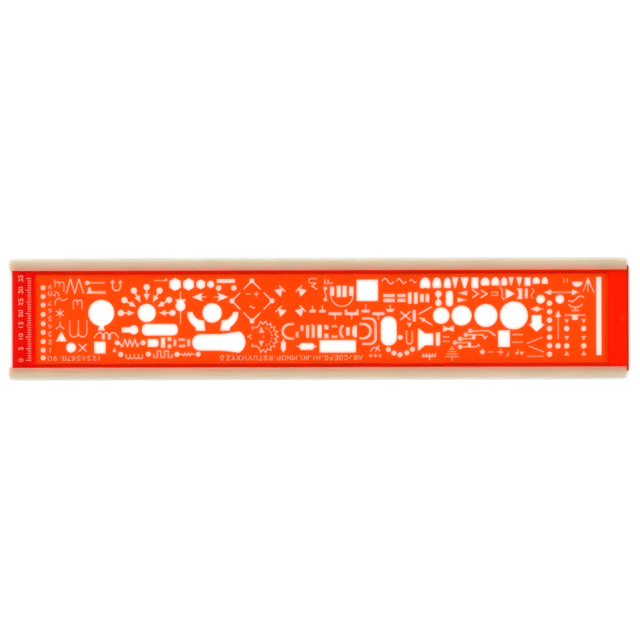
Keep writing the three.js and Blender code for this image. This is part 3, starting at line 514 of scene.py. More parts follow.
class Shell:
    """Points and faces of one closed surface, gathered band by band and then made a mesh."""

    def __init__(self):
        self.points = np.empty((0, 3))
        self.quads = []
        self.triangles = []
        self.quad_materials = []
        self.triangle_materials = []

    def ring(self, outline, height):
        """Adds a flat outline at a height, and returns its point numbers."""
        return self.add(np.column_stack([outline, np.full(len(outline), height)]))

    def add(self, points):
        """Adds points and returns their numbers."""
        start = len(self.points)
        self.points = np.vstack([self.points, points])
        return np.arange(start, start + len(points))

    def band(self, rings, material=0):
        """Joins each ring to the next with four-sided faces.

        A face runs from point i to i + 1 of one ring, and back from i + 1 to i of the other.
        """
        rings = np.array(rings)
        near, far = rings[:-1], rings[1:]
        corners = [near, np.roll(near, -1, axis=1), np.roll(far, -1, axis=1), far]
        quads = np.stack(corners, axis=-1).reshape(-1, 4)
        self.quads.append(quads)
        self.quad_materials.append(np.full(len(quads), material))

    def fill(self, outer, holes=(), material=0, axes=(0, 1), forward=True):
        """Fills the flat space between a loop and its holes with triangles that keep their edges.

        A triangle is kept where it lies inside the outer loop and in none of the holes.
        """
        loops = [outer, *holes]
        numbers = np.concatenate(loops)
        flat = self.points[numbers][:, axes]
        ends = np.cumsum([len(loop) for loop in loops])
        outlines = [list(range(end - len(loop), end)) for loop, end in zip(loops, ends)]
        outlines = [row if area(flat[row]) > 0 else row[::-1] for row in outlines]
        places = [Vector(place) for place in flat]
        vertices, _, faces, _, _, sources = delaunay_2d_cdt(places, [], outlines, 0, TOUCHING)
        if len(vertices) != len(numbers):
            raise RuntimeError("two outlines cross or touch")
        inside = np.array([face for face, source in zip(faces, sources) if source == [0]])
        first, second, third = (flat[inside[:, corner]] for corner in range(3))
        backwards = (cross(second - first, third - first) > 0) != forward
        inside[backwards] = inside[backwards][:, ::-1]
        self.triangles.append(numbers[inside])
        self.triangle_materials.append(np.full(len(inside), material))

    def object(self, name, materials, sharp_angle):
        """Makes the object, with smooth faces and its edges sharp past an angle in degrees."""
        mesh = bpy.data.meshes.new(name)
        quads = np.concatenate(self.quads)
        triangles = np.concatenate(self.triangles)
        mesh.from_pydata((self.points * MM).tolist(), [], quads.tolist() + triangles.tolist())
        slots = np.concatenate([*self.quad_materials, *self.triangle_materials]).astype(np.int32)
        for material in materials:
            mesh.materials.append(material)
        mesh.polygons.foreach_set("material_index", slots)
        mesh.polygons.foreach_set("use_smooth", np.ones(len(slots), dtype=bool))
        mesh.set_sharp_from_angle(angle=math.radians(sharp_angle))
        if mesh.validate():
            raise RuntimeError(f"{name} has faulty faces")
        piece = bpy.data.objects.new(name, mesh)
        bpy.context.scene.collection.objects.link(piece)
        return piece


def opening(shell, outline, top, bottom, chamfer):
    """Carries a wall with broken edges round an outline, and returns its top and bottom rings."""
    wide = widened(outline, chamfer)
    rings = [
        shell.ring(wide, top),
        shell.ring(outline, top - chamfer),
        shell.ring(outline, bottom + chamfer),
        shell.ring(wide, bottom),
    ]
    shell.band(rings, material=1)
    return rings[0], rings[-1]


def engraving(shell, outline, top):
    """Sinks an outline into a face, with a painted floor, and returns its upper ring."""
    rings = [
        shell.ring(widened(outline, SCALE_CHAMFER), top),
        shell.ring(outline, top - SCALE_CHAMFER),
        shell.ring(outline, top - SCALE_DEPTH),
    ]
    shell.band(rings)
    shell.fill(rings[-1], material=2)
    return rings[0]


def gate_mark(shell, x, y, top):
    """The moulding gate's trace: a shallow groove round a low nub, as a profile turned about its axis."""
    rings = [shell.ring(circle(x, y, radius, GATE_POINTS), top + height) for radius, height in GATE_PROFILE]
    shell.band(rings)
    shell.fill(rings[-1])
    return rings[0]


def field_step(shell, outer, inner, top, bottom):
    """The step from the rim down to the field, and its outermost and innermost rings.

    It runs evenly in from the outer outline to the inner one, and falls by 3t^2 - 2t^3 of its height.
    """
    run = np.linspace(0, 1, STEP_RINGS)
    fall = run**2 * (3 - 2 * run)
    rings = [shell.ring(offset_outline(outer, COLLAR), top)]
    rings += [
        shell.ring(outer + (inner - outer) * share, top + (bottom - top) * drop)
        for share, drop in zip(run, fall)
    ]
    rings.append(shell.ring(offset_outline(inner, -COLLAR), bottom))
    shell.band(rings)
    return rings[0], rings[-1]


def outer_wall(shell, low, high, top, edge, corner):
    """Carries the plate's outer wall up between its two rounded edges, and returns its end rings."""
    bottom = low[2]
    middle = edge * EDGE_MIDDLE
    profile = [(edge + COLLAR, bottom), (edge, bottom), (middle, bottom + middle), (0, bottom + edge)]
    profile += [(inward, bottom + top - height) for inward, height in reversed(profile)]
    rings = [
        shell.ring(rounded_rectangle(low[:2] + inward, high[:2] - inward, corner - inward), height)
        for inward, height in profile
    ]
    shell.band(rings)
    return rings[0], rings[-1]


def scale_outlines(middle_x):
    """Ticks each millimetre, longer at each fifth and tenth, and plain numbers that read along the scale."""
    outlines = []
    start = middle_x + SCALE_TICKS_X
    for count in range(SCALE_LENGTH + 1):
        y = SCALE_ZERO_Y + count
        length = next(length for step, length in TICK_LENGTHS.items() if count % step == 0)
        outlines.append(finished_stroke(np.array([[start, y], [start - length, y]]), SCALE_STROKE))
    height = SCALE_NUMBER_HEIGHT
    x = middle_x + SCALE_NUMBERS_X
    for count in range(0, SCALE_LENGTH + 1, SCALE_NUMBER_STEP):
        digits = str(count)
        for place, digit in enumerate(digits):
            along = SCALE_ZERO_Y + count + (place - (len(digits) - 1) / 2) * DIGIT_PITCH * height
            outlines += character(digit, x, along, height, height, SCALE_STROKE, 90)
    return outlines


def lettering_outlines(middle_x, width, height, stroke):
    """The numerals and letters that are cut through the field, upside down as they lie in the photograph."""
    rows = [(name, NUMERAL_COLUMN_X, y) for name, y in NUMERAL_COLUMN]
    rows += [(name, x, LETTER_ROW_Y) for name, x in LETTER_ROW]
    outlines = []
    for name, x, y in rows:
        outlines += character(name, middle_x + x, y, width, height, stroke, 180)
    return outlines


def plate_shell(sizes):
    """The stencil plate: a thin field sunk in a thicker rim, with the openings and lettering cut through.

    Also returns the borders of the field and the step and the plate's high corner, and the gate's place.
    """
    levels = solid_levels("stencil_plate")
    field_top, rim_top = sorted(levels)
    low, high = box_in_mm("stencil_plate")
    bottom = low[2]
    middle_x = (low[0] + high[0]) / 2
    field_loops = sorted(levels[field_top], key=lambda loop: -abs(area(loop)))
    step_loop = min(levels[rim_top], key=lambda loop: abs(area(loop)))
    field_low, field_high = field_loops[0].min(axis=0), field_loops[0].max(axis=0)
    step_low, step_high = step_loop.min(axis=0), step_loop.max(axis=0)

    shell = Shell()
    chamfer, setback = in_mm(sizes, "opening_chamfer", "opening_corner")
    cuts = [(finished_outline(loop, OPENING_TURN, setback), chamfer) for loop in field_loops[1:]]
    lettering = lettering_outlines(middle_x, *in_mm(sizes, "letter_width", "letter_height", "letter_stroke"))
    cuts += [(outline, LETTER_CHAMFER) for outline in lettering]
    rings = [opening(shell, outline, field_top, bottom, broken) for outline, broken in cuts]
    tops, bottoms = zip(*rings)

    inset = np.array([0, sizes.side_step * PER_METRE])
    outer_step = rounded_rectangle(step_low, step_high, STEP_CORNER, steps=1)
    inner_step = rounded_rectangle(field_low + inset, field_high - inset, STEP_CORNER, steps=1)
    step_ring, field_ring = field_step(shell, outer_step, inner_step, rim_top, field_top)
    shell.fill(field_ring, tops)

    edge, corner = in_mm(sizes, "plate_edge", "plate_corner")
    lowest, highest = outer_wall(shell, low, high, rim_top, edge, corner)
    marks = [engraving(shell, outline, rim_top) for outline in scale_outlines(middle_x)]
    gate = gate_mark(shell, middle_x + GATE_X, GATE_Y, rim_top)
    shell.fill(highest, [step_ring, gate, *marks])
    shell.fill(lowest, bottoms, forward=False)
    gate_place = (np.array([middle_x + GATE_X, GATE_Y, 0]) * MM).tolist()
    return shell, (field_low, field_high, step_low, step_high, high[:2]), gate_place


def rail_shell(node, side, sizes):
    """An edge rail: a channel section carried along X, drawn in a little at its cut ends."""
    low, high = box_in_mm(node)
    plate_edge = box_in_mm("stencil_plate")[1][1]
    inner, outer = sorted((side * low[1] - plate_edge, side * high[1] - plate_edge))
    foot, thickness, slot_end = in_mm(sizes, "rail_foot", "rail_lip", "rail_slot_end")
    outer_round, lip_round = in_mm(sizes, "rail_outer_round", "rail_lip_round")
    lip = high[2] - thickness
    section = np.array([
        [inner, 0], [outer, 0], [outer, high[2]], [inner, high[2]],
        [inner, lip], [slot_end, lip], [slot_end, foot], [inner, foot],
    ])
    setbacks = np.array([
        lip_round, outer_round, outer_round, lip_round,
        SLOT_MOUTH_ROUND, SLOT_CORNER_ROUND, SLOT_CORNER_ROUND, SLOT_MOUTH_ROUND,
    ])
    section = round_corners(section, np.ones(len(section), dtype=bool), setbacks)
    shell = Shell()
    stations = [(low[0] + inward, draw) for inward, draw in RAIL_END]
    stations += [(high[0] - inward, draw) for inward, draw in reversed(RAIL_END)]
    rings = []
    for x, draw in stations:
        drawn = offset_outline(section, -draw)
        across = side * (plate_edge + drawn[:, 0])
        ring = np.column_stack([np.full(len(drawn), x), across, drawn[:, 1]])
        rings.append(shell.add(ring if side > 0 else ring[::-1]))
    shell.band(rings)
    shell.fill(rings[-1], axes=(1, 2))
    shell.fill(rings[0], axes=(1, 2), forward=False)
    return shell


class Nodes:
    """A node tree with short ways to add nodes and join them."""

    def __init__(self, tree):
        self.tree = tree

    def add(self, kind, inputs=None, **settings):
        """Adds a node, sets its properties, and sets or links its inputs by name or number."""
        node = self.tree.nodes.new(kind)
        for name, value in settings.items():
            setattr(node, name, value)
        for key, value in (inputs or {}).items():
            self.feed(node.inputs[key], value)
        return node

    def feed(self, target, value):
        """Links an output to an input, or sets the input's own value."""
        if isinstance(value, bpy.types.NodeSocket):
            self.tree.links.new(value, target)
        else:
            target.default_value = value

    def math(self, operation, first, second=0.0):
        """The result of a sum on two values."""
        return self.add("ShaderNodeMath", {0: first, 1: second}, operation=operation).outputs[0]

    def scaled(self, value, factor, start):
        """A value times a factor, plus a start."""
        return self.math("ADD", self.math("MULTIPLY", value, factor), start)

    def largest(self, first, *others):
        """The largest of several values."""
        for value in others:
            first = self.math("MAXIMUM", first, value)
        return first

    def fade(self, value, start, end, low=0.0, high=1.0):
        """A smooth change from low to high as a value goes from start to end."""
        inputs = {0: value, 1: start, 2: end, 3: low, 4: high}
        return self.add("ShaderNodeMapRange", inputs, interpolation_type="SMOOTHSTEP").outputs[0]

    def ridge(self, value, middle, line):
        """A smooth ridge about a middle value, from a line's half width in mm and its strength."""
        half_width, strength = line
        away = self.math("ABSOLUTE", self.math("SUBTRACT", value, middle))
        return self.fade(away, half_width * MM, 0.0, 0.0, strength)

    def blend(self, factor, first, second):
        """A colour between two others."""
        node = self.add("ShaderNodeMix", data_type="RGBA")
        self.feed(node.inputs[0], factor)
        self.feed(node.inputs[6], first)
        self.feed(node.inputs[7], second)
        return node.outputs[2]

    def noise(self, place, scale, detail):
        """Soft noise at a place."""
        inputs = {"Vector": place, "Scale": scale, "Detail": detail}
        return self.add("ShaderNodeTexNoise", inputs).outputs["Fac"]

    def mapped(self, place, **changes):
        """A place turned or stretched."""
        return self.add("ShaderNodeMapping", {"Vector": place, **changes}).outputs[0]

    def bump(self, height, strength, distance):
        """The normal of a surface with fine heights, at a distance in mm for a height of one."""
        inputs = {"Height": height, "Strength": strength, "Distance": distance * MM}
        return self.add("ShaderNodeBump", inputs).outputs[0]

    def vector(self, operation, first, second=(0, 0, 0)):
        """The node of a sum on two vectors."""
        return self.add("ShaderNodeVectorMath", {0: first, 1: second}, operation=operation)

    def axes(self, place):
        """The three parts of a place."""
        return self.add("ShaderNodeSeparateXYZ", {0: place}).outputs

    def group(self, group, inputs):
        """Places a node group."""
        return self.add("ShaderNodeGroup", inputs, node_tree=group).outputs

    def place(self):
        """The place on the object, in metres."""
        return self.add("ShaderNodeTexCoord").outputs["Object"]


def opaque(colour):
    """A colour with full alpha, as sockets take it."""
    return (*colour, 1.0)


def new_group(name, inputs, outputs):
    """An empty node group with named sockets, given as name to kind, its nodes and its input's outputs."""
    group = bpy.data.node_groups.new(name, "ShaderNodeTree")
    for direction, sockets in (("INPUT", inputs), ("OUTPUT", outputs)):
        for label, kind in sockets.items():
            group.interface.new_socket(name=label, in_out=direction, socket_type=f"NodeSocket{kind}")
    nodes = Nodes(group)
    return group, nodes, nodes.add("NodeGroupInput").outputs


def handling_marks_group():
    """Fine scratches in three directions: long thin streaks of stretched noise, kept above a threshold."""
    inputs = {"Place": "Vector", "Amount": "Float"}
    group, nodes, given = new_group("handling_marks", inputs, {"Marks": "Float"})
    streaks = []
    for turn, long_scale, cross_scale in SCRATCHES:
        turned = nodes.mapped(given["Place"], Rotation=(0, 0, turn))
        stretched = nodes.mapped(turned, Scale=(long_scale, cross_scale, SCRATCH_DEPTH))
        streaks.append(nodes.fade(nodes.noise(stretched, 1.0, 2.0), *SCRATCH_NOISE))
    marks = nodes.math("MULTIPLY", nodes.largest(*streaks), given["Amount"])
    nodes.add("NodeGroupOutput", {"Marks": marks})
    return group


def moulding_group():
    """The slow unevenness of moulded plastic: a soft ripple for the height and a wider one for the tone."""
    inputs = {"Place": "Vector", "Ripple Scale": "Float", "Tone Scale": "Float"}
    group, nodes, given = new_group("moulding_unevenness", inputs, {"Height": "Float", "Tone": "Float"})
    ripple = nodes.noise(given["Place"], given["Ripple Scale"], 1.0)
    tone = nodes.noise(given["Place"], given["Tone Scale"], 3.0)
    nodes.add("NodeGroupOutput", {"Height": ripple, "Tone": nodes.fade(tone, *TONE_NOISE)})
    return group


def surface_groups():
    """The scratches and the moulding's unevenness, which all the plastics share."""
    groups = bpy.data.node_groups
    marks = groups.get("handling_marks") or handling_marks_group()
    moulding = groups.get("moulding_unevenness") or moulding_group()
    return marks, moulding


def plate_tint_group(borders, gate):
    """The plate's tint by place: the thin field, and the deeper bands and rim past its step.

    The steep side steps, both borders of the right slope and the right end bend light away, and their shade
    is painted into the tint as deep lines. The gate's groove is thinner, and shows as a light ring.
    """
    field_low, field_high, step_low, step_high, plate_high = (border * MM for border in borders)
    inputs = {"Place": "Vector", "Field": "Color", "Rim": "Color", "Left Band": "Color", "Line": "Color"}
    group, nodes, given = new_group("plate_tint", inputs, {"Color": "Color"})
    slope_start, slope_end = (past * MM for past in LEFT_BAND_PAST)
    end_start, end_full = (plate_high[0] - before * MM for before in END_SHADE_LINE_BEFORE)
    place = nodes.axes(given["Place"])
    along = place["X"]
    across = nodes.math("ABSOLUTE", place["Y"])
    left = nodes.fade(along, field_low[0] + slope_start, step_low[0] + slope_end)
    right = nodes.fade(along, field_high[0], step_high[0])
    sides = nodes.fade(across, field_high[1] - RIM_BEFORE * MM, step_high[1])
    colour = nodes.blend(nodes.largest(right, sides), given["Field"], given["Rim"])
    colour = nodes.blend(left, colour, given["Left Band"])

    # Painted shade: deep lines along the steep side steps, both borders of the right slope and the right end
    within = nodes.math("SUBTRACT", 1.0, nodes.largest(left, right))
    side_ridge = nodes.ridge(across, field_high[1] + SIDE_SHADE_LINE_PAST * MM, SIDE_SHADE_LINE)
    painted_shade_side_lines = nodes.math("MULTIPLY", side_ridge, within)
    painted_shade_inner_line = nodes.ridge(along, field_high[0], INNER_SHADE_LINE)
    painted_shade_outer_line = nodes.ridge(along, step_high[0], OUTER_SHADE_LINE)
    painted_shade_end_line = nodes.fade(along, end_start, end_full)
    lines = nodes.largest(painted_shade_side_lines, painted_shade_inner_line, painted_shade_outer_line, painted_shade_end_line)
    colour = nodes.blend(lines, colour, given["Line"])

    level = nodes.vector("MULTIPLY", given["Place"], (1, 1, 0)).outputs[0]
    from_gate = nodes.vector("DISTANCE", level, gate).outputs["Value"]
    ring = nodes.ridge(from_gate, GATE_LINE_RADIUS * MM, GATE_LINE)
    nodes.add("NodeGroupOutput", {"Color": nodes.blend(ring, colour, given["Field"])})
    return group


def new_material(name):
    """An empty material with a Principled shader, and its nodes."""
    material = bpy.data.materials.new(name)
    material.use_nodes = True
    return material, Nodes(material.node_tree)


def shader(material, inputs):
    """Sets or links the inputs of the material's Principled shader."""
    nodes = Nodes(material.node_tree)
    principled = material.node_tree.nodes["Principled BSDF"]
    for key, value in inputs.items():
        nodes.feed(principled.inputs[key], value)


def plate_materials(looks, borders, gate):
    """Clear orange for the polished faces and for the cut walls, and the pale paint in the engraved scale."""
    tint = plate_tint_group(borders, gate)
    marks, moulding = surface_groups()
    tints = {
        "Field": opaque(looks.field_tint),
        "Rim": opaque(looks.rim_tint),
        "Left Band": opaque(looks.left_band_tint),
        # The colour of the painted shade lines
        "Line": opaque(looks.line_tint),
    }

    clear, nodes = new_material("clear_orange")
    place = nodes.place()
    scratches = nodes.group(marks, {"Place": place, "Amount": 0.8})["Marks"]
    ripple = nodes.group(moulding, {"Place": place, "Ripple Scale": 180.0})["Height"]
    height = nodes.scaled(scratches, -0.25, nodes.math("MULTIPLY", ripple, 2.0))
    shader(clear, {
        "Base Color": nodes.group(tint, {"Place": place, **tints})["Color"],
        "Roughness": nodes.scaled(scratches, 0.12, 0.02),
        "IOR": 1.49,
        "Transmission Weight": 1.0,
        "Normal": nodes.bump(height, 0.2, 0.01),
    })

    cut, nodes = new_material("cut_orange")
    place = nodes.place()
    grain = nodes.group(moulding, {"Place": place, "Ripple Scale": 2500.0})["Height"]
    shader(cut, {
        "Base Color": nodes.group(tint, {"Place": place, **tints})["Color"],
        "Roughness": nodes.scaled(grain, 0.2, 0.3),
        "IOR": 1.49,
        "Specular IOR Level": 0.2,
        "Transmission Weight": 1.0,
        "Normal": nodes.bump(grain, 0.3, 0.02),
    })

    paint, nodes = new_material("pale_paint")
    tone = nodes.group(moulding, {"Place": nodes.place(), "Tone Scale": 900.0})["Tone"]
    worn = tuple(0.7 * part for part in looks.paint)
    shader(paint, {
        "Base Color": nodes.blend(tone, opaque(looks.paint), opaque(worn)),
        "Roughness": nodes.scaled(tone, 0.2, 0.5),
    })
    return [clear, cut, paint]


def rail_material(looks, lip_edge, plate_edge, lip_top):
    """Ivory plastic: translucent and satin, with drawn lines along X, a slow yellowing and fine scratches.

    The orange light that the plate sends up through the thin lip is painted into the colour as a glow, by
    place, from the lip's edge to where the plate ends under it, and it stays when a rail slides off the
    plate. The walls below the lip's top stay ivory.
    """
    marks, moulding = surface_groups()
    ivory, nodes = new_material("ivory")
    place = nodes.place()
    scratches = nodes.group(marks, {"Place": place, "Amount": 0.7})["Marks"]
    tone = nodes.group(moulding, {"Place": place, "Tone Scale": 45.0})["Tone"]
    lines = nodes.noise(nodes.mapped(place, Scale=(4.0, 5000.0, 5000.0)), 1.0, 2.0)
    colour = nodes.blend(tone, opaque(looks.ivory), opaque(looks.aged_ivory))
    scuffed = nodes.blend(nodes.math("MULTIPLY", scratches, 0.25), colour, opaque(looks.scuffed_ivory))

    axes = nodes.axes(place)
    across = nodes.math("ABSOLUTE", axes["Y"])
    # Painted glow: the plate's orange painted over the lip by place, near the plate's edge and the lip's
    # edge, faded out below the lip's top
    painted_glow_over_plate = nodes.fade(across, plate_edge + PAINTED_GLOW_PAST_PLATE * MM, lip_edge, 0.0, looks.plate_glow)
    painted_glow_at_edge = nodes.fade(across, lip_edge + PAINTED_GLOW_PAST_LIP * MM, lip_edge, 0.0, looks.lip_glow)
    deepest, full = (lip_top - depth * MM for depth in PAINTED_GLOW_DEPTHS)
    glow = nodes.math("MULTIPLY", nodes.largest(painted_glow_over_plate, painted_glow_at_edge), nodes.fade(axes["Z"], deepest, full))
    height = nodes.scaled(scratches, -0.5, lines)
    shader(ivory, {
        "Base Color": nodes.blend(glow, scuffed, opaque(looks.glow_through)),
        "Roughness": nodes.scaled(tone, 0.08, 0.4),
        "IOR": 1.5,
        "Subsurface Weight": 1.0,
        "Subsurface Radius": (1.0, 1.0, 1.0),
        "Subsurface Scale": 0.005,
        "Normal": nodes.bump(height, 0.35, 0.02),
    })
    return ivory


def floor_material(colour):
    """Matt white paper with a faint fibre."""
    paper, nodes = new_material("white_paper")
    shader(paper, {
        "Base Color": opaque(colour),
        "Roughness": 1.0,
        "Specular IOR Level": 0.0,
        "Normal": nodes.bump(nodes.noise(nodes.place(), 900.0, 3.0), 0.05, 0.02),
    })
    return paper


def sky(world, stage):
    """A soft tent of light with four round lamps overhead, as on a copy stand, and a dark strip between them.

    The brightness is the tent's, plus the key light faded by the cosine of the angle from its direction, plus
    the lamps' within their radius. The lamps stand in the four quarters, so one direction without its signs
    serves all four. The dark strip runs along X. It is what the plate's polished faces and end slopes mirror
    straight up.
    """
    world.use_nodes = True
    nodes = Nodes(world.node_tree)
    direction = nodes.add("ShaderNodeTexCoord").outputs["Generated"]
    key = tuple(Vector(stage.key_direction).normalized())
    toward_key = nodes.vector("DOT_PRODUCT", direction, key).outputs["Value"]
    glow = nodes.fade(toward_key, *KEY_FADE, 0.0, stage.key_strength)

    aside = math.sin(stage.lamp_tilt) * math.sqrt(0.5)
    lamp = (aside, aside, math.cos(stage.lamp_tilt))
    unsigned = nodes.vector("ABSOLUTE", direction).outputs[0]
    toward_lamp = nodes.vector("DOT_PRODUCT", unsigned, lamp).outputs["Value"]
    rim, core = (math.cos(stage.lamp_radius * share) for share in LAMP_RIM)
    lamps = nodes.fade(toward_lamp, rim, core, 0.0, stage.lamp_strength)
    axes = nodes.axes(direction)
    lamps = nodes.math("MULTIPLY", lamps, nodes.math("GREATER_THAN", axes["Z"], 0.0))
    tent = nodes.math("ADD", nodes.math("ADD", glow, lamps), stage.sky_strength)

    start, end = (math.sin(stage.strip_width * share) for share in STRIP_SIDES)
    across = nodes.fade(nodes.math("ABSOLUTE", axes["Y"]), start, end)
    beyond = nodes.fade(nodes.math("ABSOLUTE", axes["X"]), *STRIP_ENDS)
    strip = nodes.fade(nodes.largest(across, beyond), 0.0, 1.0, STRIP_LEVEL, 1.0)
    background = world.node_tree.nodes["Background"]
    nodes.feed(background.inputs["Color"], (1.0, 1.0, 1.0, 1.0))
    nodes.feed(background.inputs["Strength"], nodes.math("MULTIPLY", tent, strip))


def millimetres(name, description, default):
    """A size given in millimetres, and stored in metres."""
    return FloatProperty(name=name, description=description, default=default * MM, unit="LENGTH")


def degrees(name, description, default):
    """An angle given in degrees, and stored in radians."""
    return FloatProperty(name=name, description=description, default=math.radians(default), unit="ROTATION")


def rgb(name, description, default):
    """A colour, as linear red, green and blue."""
    return FloatVectorProperty(
        name=name, description=description, default=default, subtype="COLOR", min=0, max=1)


def fraction(name, description, default):
    """A share from nought to one."""
    return FloatProperty(name=name, description=description, default=default, min=0, max=1)


def brightness(name, description, default):
    """A brightness, where one is white."""
    return FloatProperty(name=name, description=description, default=default)


class TemplateSizes(bpy.types.PropertyGroup):
    """Sizes of the fine surface that the solids leave out."""

    opening_chamfer: millimetres("Opening chamfer", "Broken edge of the openings", 0.05)
    opening_corner: millimetres("Opening corner", "Setback of the rounded corners of the openings", 0.15)
    letter_width: millimetres("Letter width", "Width of the cell that a letter is drawn in", 2.1)
    letter_height: millimetres("Letter height", "Height of the cut lettering", 1.8)
    letter_stroke: millimetres("Letter stroke", "Width of the lettering's strokes", 0.4)
    side_step: millimetres("Side step", "Run of the field's step along its long sides", 0.34)
    plate_edge: millimetres("Plate edge", "Rounding of the plate's outer edge", 0.15)
    plate_corner: millimetres("Plate corner", "Radius of the plate's corners", 1)
    rail_foot: millimetres("Rail foot", "Thickness of the rail under the plate", 0.9)
    rail_lip: millimetres("Rail lip", "Thickness of the rail over the plate", 0.7)
    rail_slot_end: millimetres("Slot end", "Depth of the rail's slot past the plate's edge", 0.3)
    rail_outer_round: millimetres("Rail outer edge", "Rounding of the rail's outer edges", 0.45)
    rail_lip_round: millimetres("Rail lip edge", "Rounding of the rail's inner edges", 0.3)


class TemplateLooks(bpy.types.PropertyGroup):
    """Colours of the plastics. A tint is what is left of white light after one pass through the plate."""

    field_tint: rgb("Field tint", "Light left after one pass through the field", (1.0, 0.237, 0.034))
    rim_tint: rgb("Rim tint", "Light left after one pass through the rim and right band", (1.0, 0.1, 0.006))
    left_band_tint: rgb(
        "Left band tint", "Light left after one pass through the left band", (0.93, 0.055, 0.03))
    # Painted shade: the colour of the deep lines along the steps and the right end
    line_tint: rgb("Line tint", "Light left along the steps and the right end", (0.5, 0.01, 0.0))
    paint: rgb("Scale paint", "Paint in the engraved scale", (0.95, 0.5, 0.36))
    ivory: rgb("Ivory", "Colour of the rails", (0.6, 0.49, 0.33))
    aged_ivory: rgb("Aged ivory", "Colour of the rails where they have yellowed", (0.565, 0.455, 0.295))
    scuffed_ivory: rgb("Scuffed ivory", "Colour in the rails' scratches", (0.85, 0.78, 0.66))
    # Painted glow: the colour of the plate's light painted into the rails' thin lips, and its shares at the
    # lip's edge and over the plate
    glow_through: rgb(
        "Glow through", "Colour that the plate sends up through the rails' thin lips", (0.95, 0.08, 0.015))
    lip_glow: fraction("Lip glow", "Share of that colour at the lip's edge", 0.6)
    plate_glow: fraction("Plate glow", "Share of that colour where the rail covers the plate", 0.5)


class TemplateStage(bpy.types.PropertyGroup):
    """The floor, the light and the camera."""

    floor_size: millimetres("Floor size", "Width of the floor", 12000)
    floor_drop: millimetres("Floor drop", "Gap under the rails", 0.03)
    floor_colour: rgb("Floor colour", "Colour of the paper", (0.97, 0.97, 0.97))
    sky_strength: brightness("Sky strength", "Brightness of the tent", 0.25)
    key_strength: brightness("Key strength", "Extra brightness round the key light", 0.25)
    key_direction: FloatVectorProperty(
        name="Key direction", description="Direction of the key light", default=(-0.55, 0.6, 0.6),
        subtype="DIRECTION")
    lamp_strength: brightness("Lamp strength", "Brightness of each lamp", 11.62)
    lamp_tilt: degrees("Lamp tilt", "Angle of each lamp from straight up", 29)
    lamp_radius: degrees("Lamp radius", "Angle from a lamp's middle to its rim", 8)
    strip_width: degrees("Dark strip", "Angle that the dark strip overhead reaches to either side", 8)
    camera_lens: FloatProperty(name="Lens", description="Focal length in mm", default=200.0)
    camera_place: FloatVectorProperty(
        name="Camera place", description="Place of the camera", default=(0.000354, -0.000557, 1.5248),
        precision=6)
    camera_turn: degrees("Camera turn", "Turn of the camera about the vertical", -0.146)


class TEMPLATE_OT_plate(bpy.types.Operator):
    """Makes the clear orange plate with its openings, lettering and scale"""

    bl_idname = "template.plate"
    bl_label = "Stencil plate"

    def execute(self, context):
        scene = context.scene
        shell, borders, gate = plate_shell(scene.template_sizes)
        materials = plate_materials(scene.template_looks, borders, gate)
        plate = shell.object("symbol_plate", materials, PLATE_SHARP_ANGLE)
        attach(plate, "plate")
        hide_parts("stencil_plate")
        return {"FINISHED"}


class TEMPLATE_OT_rails(bpy.types.Operator):
    """Makes the two ivory edge rails"""

    bl_idname = "template.rails"
    bl_label = "Edge rails"

    def execute(self, context):
        scene = context.scene
        rail_low, rail_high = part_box("upper_edge_rail")
        plate_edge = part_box("stencil_plate")[1][1]
        ivory = rail_material(scene.template_looks, rail_low[1], plate_edge, rail_high[2])
        for name, side in (("upper", 1), ("lower", -1)):
            shell = rail_shell(f"{name}_edge_rail", side, scene.template_sizes)
            rail = shell.object(f"{name}_ivory_rail", [ivory], RAIL_SHARP_ANGLE)
            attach(rail, f"{name}_rail")
            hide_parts(f"{name}_edge_rail")
        return {"FINISHED"}


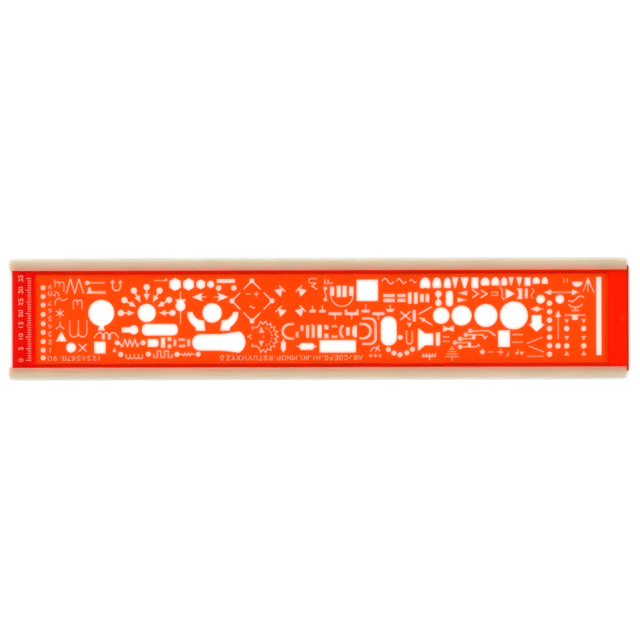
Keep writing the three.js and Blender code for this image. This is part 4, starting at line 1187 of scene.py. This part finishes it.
class TEMPLATE_OT_stage(bpy.types.Operator):
    """Makes the white floor, the soft light and the camera"""

    bl_idname = "template.stage"
    bl_label = "Stage"

    def execute(self, context):
        scene = context.scene
        stage = scene.template_stage
        half = stage.floor_size / 2
        depth = -stage.floor_drop
        corners = [(-half, -half, depth), (half, -half, depth), (half, half, depth), (-half, half, depth)]
        mesh = bpy.data.meshes.new("paper_floor")
        mesh.from_pydata(corners, [], [(0, 1, 2, 3)])
        mesh.materials.append(floor_material(stage.floor_colour))
        floor = bpy.data.objects.new("paper_floor", mesh)
        scene.collection.objects.link(floor)

        scene.world = bpy.data.worlds.new("soft_tent")
        sky(scene.world, stage)

        camera = bpy.data.objects.new("camera", bpy.data.cameras.new("camera"))
        camera.data.lens = stage.camera_lens
        camera.data.clip_start = 0.1
        camera.data.clip_end = 20.0
        camera.location = stage.camera_place
        camera.rotation_euler = (0, 0, stage.camera_turn)
        scene.collection.objects.link(camera)
        scene.camera = camera
        scene.view_settings.view_transform = "Standard"
        scene.cycles.blur_glossy = 0.0
        scene.cycles.max_bounces = 32
        scene.cycles.transmission_bounces = 32
        scene.cycles.glossy_bounces = 16
        scene.cycles.diffuse_bounces = 8
        return {"FINISHED"}


class TEMPLATE_PT_panel(bpy.types.Panel):
    """Sizes, colours and steps of the symbol template"""

    bl_idname = "TEMPLATE_PT_panel"
    bl_label = "Symbol template"
    bl_space_type = "VIEW_3D"
    bl_region_type = "UI"
    bl_category = "Template"

    def draw(self, context):
        scene = context.scene
        steps = (
            (TEMPLATE_OT_plate, scene.template_sizes),
            (TEMPLATE_OT_rails, scene.template_looks),
            (TEMPLATE_OT_stage, scene.template_stage),
        )
        for operator, settings in steps:
            column = self.layout.box().column()
            for name in settings.bl_rna.properties.keys():
                if name not in ("name", "rna_type"):
                    column.prop(settings, name)
            column.operator(operator.bl_idname)


CLASSES = (
    TemplateSizes, TemplateLooks, TemplateStage,
    TEMPLATE_OT_plate, TEMPLATE_OT_rails, TEMPLATE_OT_stage, TEMPLATE_PT_panel,
)
SETTINGS = {
    "template_sizes": TemplateSizes,
    "template_looks": TemplateLooks,
    "template_stage": TemplateStage,
}


def register():
    """Registers the classes and puts their settings on the scene."""
    for item in CLASSES:
        bpy.utils.register_class(item)
    for name, kind in SETTINGS.items():
        setattr(bpy.types.Scene, name, PointerProperty(type=kind))


def unregister():
    """Takes the settings and the classes away again."""
    for name in SETTINGS:
        delattr(bpy.types.Scene, name)
    for item in reversed(CLASSES):
        bpy.utils.unregister_class(item)


def main():
    """Builds everything."""
    register()
    bpy.ops.template.plate()
    bpy.ops.template.rails()
    bpy.ops.template.stage()


if __name__ == "__main__":
    main()
